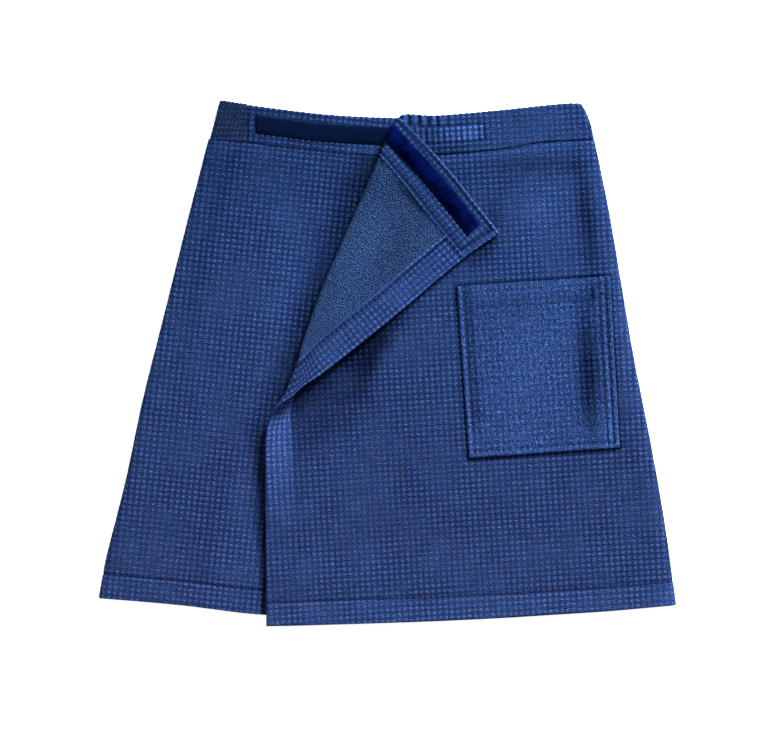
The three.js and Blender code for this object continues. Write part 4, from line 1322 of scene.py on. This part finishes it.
# The rows of stitches that hold the loop tape, as seen on the outside, by distance below the top
STRIP_ROWS = (13.2, 31.0)


def over_loop_tape(x, y):
    """How far below the top edge a point lies, and 1 over the sewn-on tape."""
    below = overlap_top(x) - y
    half = (STRIP_ROWS[1] - STRIP_ROWS[0]) / 2
    between_rows = fade(np.abs(below - STRIP_ROWS[0] - half), half - 1.5, half + 0.5)
    return below, between_rows * fade(x, LOOP_ENDS[1] - 3, LOOP_ENDS[1] + 3)


def puckers(x, y):
    """Waves across the band where the tape is drawn tight: wide ones above the tape beside the
    crease, and narrow ones, as wide as a tuft, over the tape and below it."""
    below, strip = over_loop_tape(x, y)
    above_tape = fade(below, STRIP_ROWS[0] - 3, STRIP_ROWS[0] + 1)
    wide = np.cos(2 * np.pi * (x - 39.6) / 10.2) * fade(x, 46, 84) * above_tape
    across = band_overlap_cut.cloth_way(x, y)[0]
    uneven = 0.62 + 0.30 * np.cos(0.83 * x + 1.0) + 0.25 * np.cos(0.31 * x)
    narrow = -np.cos(2 * np.pi * across / TUFT_PITCH[0]) * uneven
    return wide, narrow * strip


def band_overlap_face(x, y):
    """The outer face: tufts, over the loop tape a raised strip between two stitched lines, and the
    puckers."""
    below, strip = over_loop_tape(x, y)
    wide, narrow = puckers(x, y)
    lines = groove(below - STRIP_ROWS[0], 1.8, 1.0, x) + groove(below - STRIP_ROWS[1], 1.8, 0.6, x)
    ends = fade(x, LOOP_ENDS[1] - 2, LOOP_ENDS[1] + 6)
    near = np.clip(band_overlap_cut.near(x, y) / 2, 0.2, 1)
    wall = band_wall_face(band_overlap_cut, x, y, BAND_HALF, TUFT_HEIGHT * (1 - 0.8 * strip))
    return wall + 0.7 * strip + lines * ends + (0.9 * wide + 0.5 * narrow) * near


def band_overlap_inner(x, y):
    """The inner face: tufts, a stitched line along the bottom and top, and one across the end."""
    end_line = groove(x - overlap_free_edge(y) - BAND_END_STITCH, 1.5, 0.6, y)
    bottom_line = groove(y - right_seam(x) - BAND_FOOT_STITCH, 1.6, 0.7, x)
    top_line = groove(band_top(x) - y - BAND_TOP_STITCH, 1.4, 0.5, x)
    return -band_wall_face(band_overlap_cut, x, y, BAND_HALF, 0.6) - end_line - bottom_line - top_line


def band_overlap_sewn(x, y):
    """Distance from the nearest stitched line: on the part folded back those of the inner face, and
    on the outer face the two that hold the tape."""
    below = overlap_top(x) - y
    inside = np.minimum.reduce([
        x - overlap_free_edge(y) - BAND_END_STITCH, y - right_seam(x) - BAND_FOOT_STITCH,
        band_top(x) - y - BAND_TOP_STITCH]) / BAND_LINE
    lower = np.abs(STRIP_ROWS[1] - below) + 0.4
    end = np.abs(LOOP_ENDS[1] + 2 - x) + 0.8
    rows = np.minimum.reduce([np.abs(below - STRIP_ROWS[0]), lower, end])
    outside = np.where(x > LOOP_ENDS[1] + 2, end, rows)
    return np.where(past_crease(x, y) > INNER_FACE_PAST, inside, outside)


def band_overlap_brushed(x, y):
    """Painted highlights on the folded rims, on the tape strip's right half and on the crests of the
    puckers, painted shade on the strip's left part, and darker along the band's foot and at the seam.
    """
    below, strip = over_loop_tape(x, y)
    wide, narrow = puckers(x, y)
    # painted highlights on the folded rims
    rim = fade(band_overlap_cut.near(x, y), 0.3, 1.6)
    from_end = x - overlap_free_edge(y)
    ragged = 0.8 + 0.3 * np.cos(1.9 * (x + y)) + 0.15 * np.cos(0.57 * x)
    stripes = 0.14 * np.cos(2 * np.pi * below / 2.9) * fade(np.abs(below - 8), 3, 6)
    bars = 0.9 * rim + 1.3 * fade(y - right_seam(x), 2.2, 3.8) + 0.45 * fade(from_end, 6.0, 7.6)
    turned = 1.0 + stripes + ragged * bars - 0.12 * fade(np.abs(below - 7), 3, 5)
    # painted shade and painted light along the raised tape strip
    dim = 0.3 * strip * fade(np.abs(x - 52), 6, 18)
    bright = 0.4 * strip * fade(np.abs(x - 80), 16, 32)
    foot = 0.3 * fade(np.abs(below - 38), 3, 6) * fade(x, 60, 110)
    seam = 0.4 * fade(y - right_seam(x), 0.4, 2.2)
    # painted light on the crests of the puckers
    flat = 0.95 + 0.75 * wide + 0.7 * narrow + bright - dim - foot - seam
    return np.where(past_crease(x, y) > INNER_FACE_PAST, turned, flat)


band_overlap = cloth_wall(
    "overlap_band_velour", band_overlap_cut, overlap_place, band_overlap_face, band_overlap_inner,
    VELOUR, sewn=band_overlap_sewn, brushed=band_overlap_brushed)
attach(band_overlap, "root")
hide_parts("band_overlap")
band_x = np.linspace(-142, 195, 200)
strip_x = np.linspace(-12, LOOP_ENDS[1] + 1, 100)
strip_below = np.linspace(*STRIP_ROWS, 12)
end_y = np.linspace(224, 259, 20)
stitches("band_inner_stitches", overlap_place, band_overlap_inner, -1, [
    (band_x, right_seam(band_x) + BAND_FOOT_STITCH),
    (band_x, band_top(band_x) - BAND_TOP_STITCH),
    (overlap_free_edge(end_y) + BAND_END_STITCH, end_y)])
stitches("band_outer_stitches", overlap_place, band_overlap_face, 1, [
    (strip_x, overlap_top(strip_x) - STRIP_ROWS[0]),
    (strip_x, overlap_top(strip_x) - STRIP_ROWS[1]),
    (strip_x[-1], overlap_top(strip_x[-1]) - strip_below)])

# The loop tape: dark navy tape with dense soft loops, sewn on the inside of the overlap's band, so
# it shows on the folded corner.
loop_cut = tape_cut(overlap_top, LOOP_ENDS)


def loop_face(x, y):
    """Dense loops, higher in the middle than at the woven edges."""
    near = loop_cut.near(x, y)
    return -(TAPE_FOOT + SEWN_GAP + 0.45 + 0.95 * (1 - fade(near, 0.6, 3.2)) - 0.35 * fade(near, 0, 0.9))


def loop_foot(x, y):
    return -TAPE_FOOT + 0 * x


loop_material, tree, shader = cloth_material("loop tape", 0.95)
where = cloth_way_node(tree)
pile = noise_node(tree, where, 1500.0, 3.0, 0.8)
lie = ramp_node(tree, noise_node(tree, where, 90.0, 2.0, 0.6), 0.35, 0.65)
lit = math_node(tree, "MULTIPLY", ramp_node(tree, pile, 0.3, 0.7), math_node(tree, "ADD", 0.3, lie))
loop_colour = mix_colour(tree, lit, (0.0002, 0.0005, 0.006), (0.0008, 0.0050, 0.060))
finish_colour(tree, shader, loop_colour, ramp_node(tree, pile, 0.3, 0.7, 0.8, 1.2))
bump_node(tree, shader, pile, 0.0012)


def loop_brushed(x, y):
    """Lighter towards the band's top edge and along the tape's edges, darkest along the lower side, and
    a little uneven along the tape.
    """
    below = overlap_top(x) - y
    rim = fade(loop_cut.near(x, y), 0.4, 2.4)
    return 0.45 + 0.95 * fade(below, 14, 26) + 0.5 * rim + 0.25 * np.cos(0.09 * x)


loop_tape = cloth_wall("loop_tape_pile", loop_cut, overlap_place, loop_face, loop_foot, loop_material,
                       inside=inner_points(loop_cut, spacing=5, extra=roll_points(spacing=4)),
                       brushed=loop_brushed)
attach(loop_tape, "root")
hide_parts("loop_tape")
stitches("loop_tape_stitches", overlap_place, loop_face, -1,
         tape_outline(overlap_top, LOOP_ENDS), sink=0.1, thread="navy")

# The patch pocket: a rectangle of the same velour with its edges turned under, sewn to the overlap
# down both sides and along the bottom, close to its edges. Its open top has a hem.
POCKET_HEM = 25.0
POCKET_HEM_THICKNESS = 3.0
POCKET_GRAIN = 3.9
POCKET_MARGIN = 5.6
POCKET_SECOND_LINE = 12.4

# How many times wider than on the panels the darkened lines beside the pocket's stitches are
POCKET_LINE = 1.6
pocket_cut = Cut(**pocket_edges, box=(70, 256, -106, 99), grain=POCKET_GRAIN,
                 free="left right top bottom")


def pocket_lines(x, y):
    """Distances in from the left, right and bottom edges and down from the top, and from the lines
    of stitching: one round the sewn sides, and a second one inside it on the right."""
    left, right = x - pocket_edges["left"](y), pocket_edges["right"](y) - x
    up, down = y - pocket_edges["bottom"](x), pocket_edges["top"](x) - y
    jag = 0.8 * np.sin(2 * np.pi * (x + y) / 4.7)
    first = np.minimum.reduce([left, right, up]) - POCKET_MARGIN + jag
    second = np.where(up > POCKET_MARGIN, right - POCKET_SECOND_LINE + jag, -FAR)
    return left, right, up, down, first, second


def pocket_face(x, y):
    """Its face: softer tufts, cord-like margins inside the stitched lines, the hem's line below the
    open top, and a long hollow beside the right-hand margin."""
    left, right, up, down, first, second = pocket_lines(x, y)
    near = pocket_cut.near(x, y)
    thickness = CLOTH + (POCKET_HEM_THICKNESS - CLOTH) * fade(down, POCKET_HEM - 10, POCKET_HEM + 4)
    relief = 0.25 * (1 - tufts(*pocket_cut.cloth_way(x, y))) * np.clip(near / 2.5, 0.35, 1)
    sewn = np.minimum.reduce([left, right, up])
    margin = 0.7 * fade(sewn, POCKET_MARGIN - 2, POCKET_MARGIN)
    swell = 1.0 * (1 - fade(sewn, POCKET_MARGIN, POCKET_MARGIN + 16))
    hollow = 1.6 * np.exp(-((right - 30) / 14) ** 2) * fade(np.abs(y + 6), 45, 85)
    lines = (groove(first, 1.6, 1.1, x + y) + groove(second, 1.6, 0.9, y)
             + groove(down - POCKET_HEM, 1.6, 0.3, x))
    wall = CLOTH_HALF + SEWN_GAP - 0.3 + thickness * rounded(near, 1.2)
    return wall - relief + margin + swell - hollow + lines


def pocket_sewn(x, y):
    """Distance from the nearest stitched line, in units of how wide the pocket's lines look."""
    first, second = pocket_lines(x, y)[4:]
    return np.minimum(first, -second) / POCKET_LINE


def pocket_brushed(x, y):
    """Painted highlights on the raised margins and the right cord, lighter in the middle, and painted
    shade just inside the left line, just below the open top's edge, in the hollow and under the top
    hem's right end."""
    left, right, up, down = pocket_lines(x, y)[:4]
    # painted highlights on the raised margins
    margin = 0.3 * fade(np.minimum.reduce([left, up, right]), POCKET_MARGIN - 2.5, POCKET_MARGIN - 0.5)
    # painted highlight on the right cord, painted shade just below the open top's edge
    cord = 0.4 * fade(np.abs(right - 9.0), 1.0, 2.6) - 0.3 * fade(down, 0, 1.5)
    by_line = 0.28 * fade(np.abs(left - 10.5), 2, 9) * fade(down, 140, 170)
    # spots: painted shade in the hollow and under the top hem's right end, lighter in the middle
    return 1 + margin + cord - by_line + spots(
        x, y,
        at_x=(216, 219, 160, 130, 240, 222, 150),
        at_y=(8, -48, -10, 60, -80, 76, -85),
        turn=(93, 93, 70, 20, 90, 93, 3),
        length=(60, 40, 70, 40, 24, 10, 60),
        width=(13, 11, 36, 22, 9, 3.5, 12),
        strength=(-0.58, -0.27, 0.1, -0.12, 0.35, -0.5, 0.12))


def pocket_foot(x, y):
    return CLOTH_HALF - 0.35 + 0 * x


POCKET_VELOUR = velour("pocket velour", groove=(0.0132, 0.0315, 0.108), body=(0.0200, 0.0448, 0.1445),
                       bright=(0.0496, 0.0975, 0.265), twill=0.38)
pocket = cloth_wall("pocket_velour", pocket_cut, overlap_place, pocket_face, pocket_foot, POCKET_VELOUR,
                    inside=inner_points(pocket_cut, spacing=8), sewn=pocket_sewn, brushed=pocket_brushed)
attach(pocket, "root")
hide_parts("patch_pocket")
side_y = np.linspace(-93, 81, 120)
right_y = side_y + 8
foot_x = np.linspace(95, 245, 100)
top_x = np.linspace(84, 234, 100)
stitches("pocket_stitches", overlap_place, pocket_face, 1, [
    (pocket_edges["left"](side_y) + POCKET_MARGIN, side_y),
    (pocket_edges["right"](right_y) - POCKET_MARGIN, right_y),
    (pocket_edges["right"](right_y) - POCKET_SECOND_LINE, right_y),
    (foot_x, pocket_edges["bottom"](foot_x) + POCKET_MARGIN),
    (top_x, pocket_edges["top"](top_x) - POCKET_HEM)])
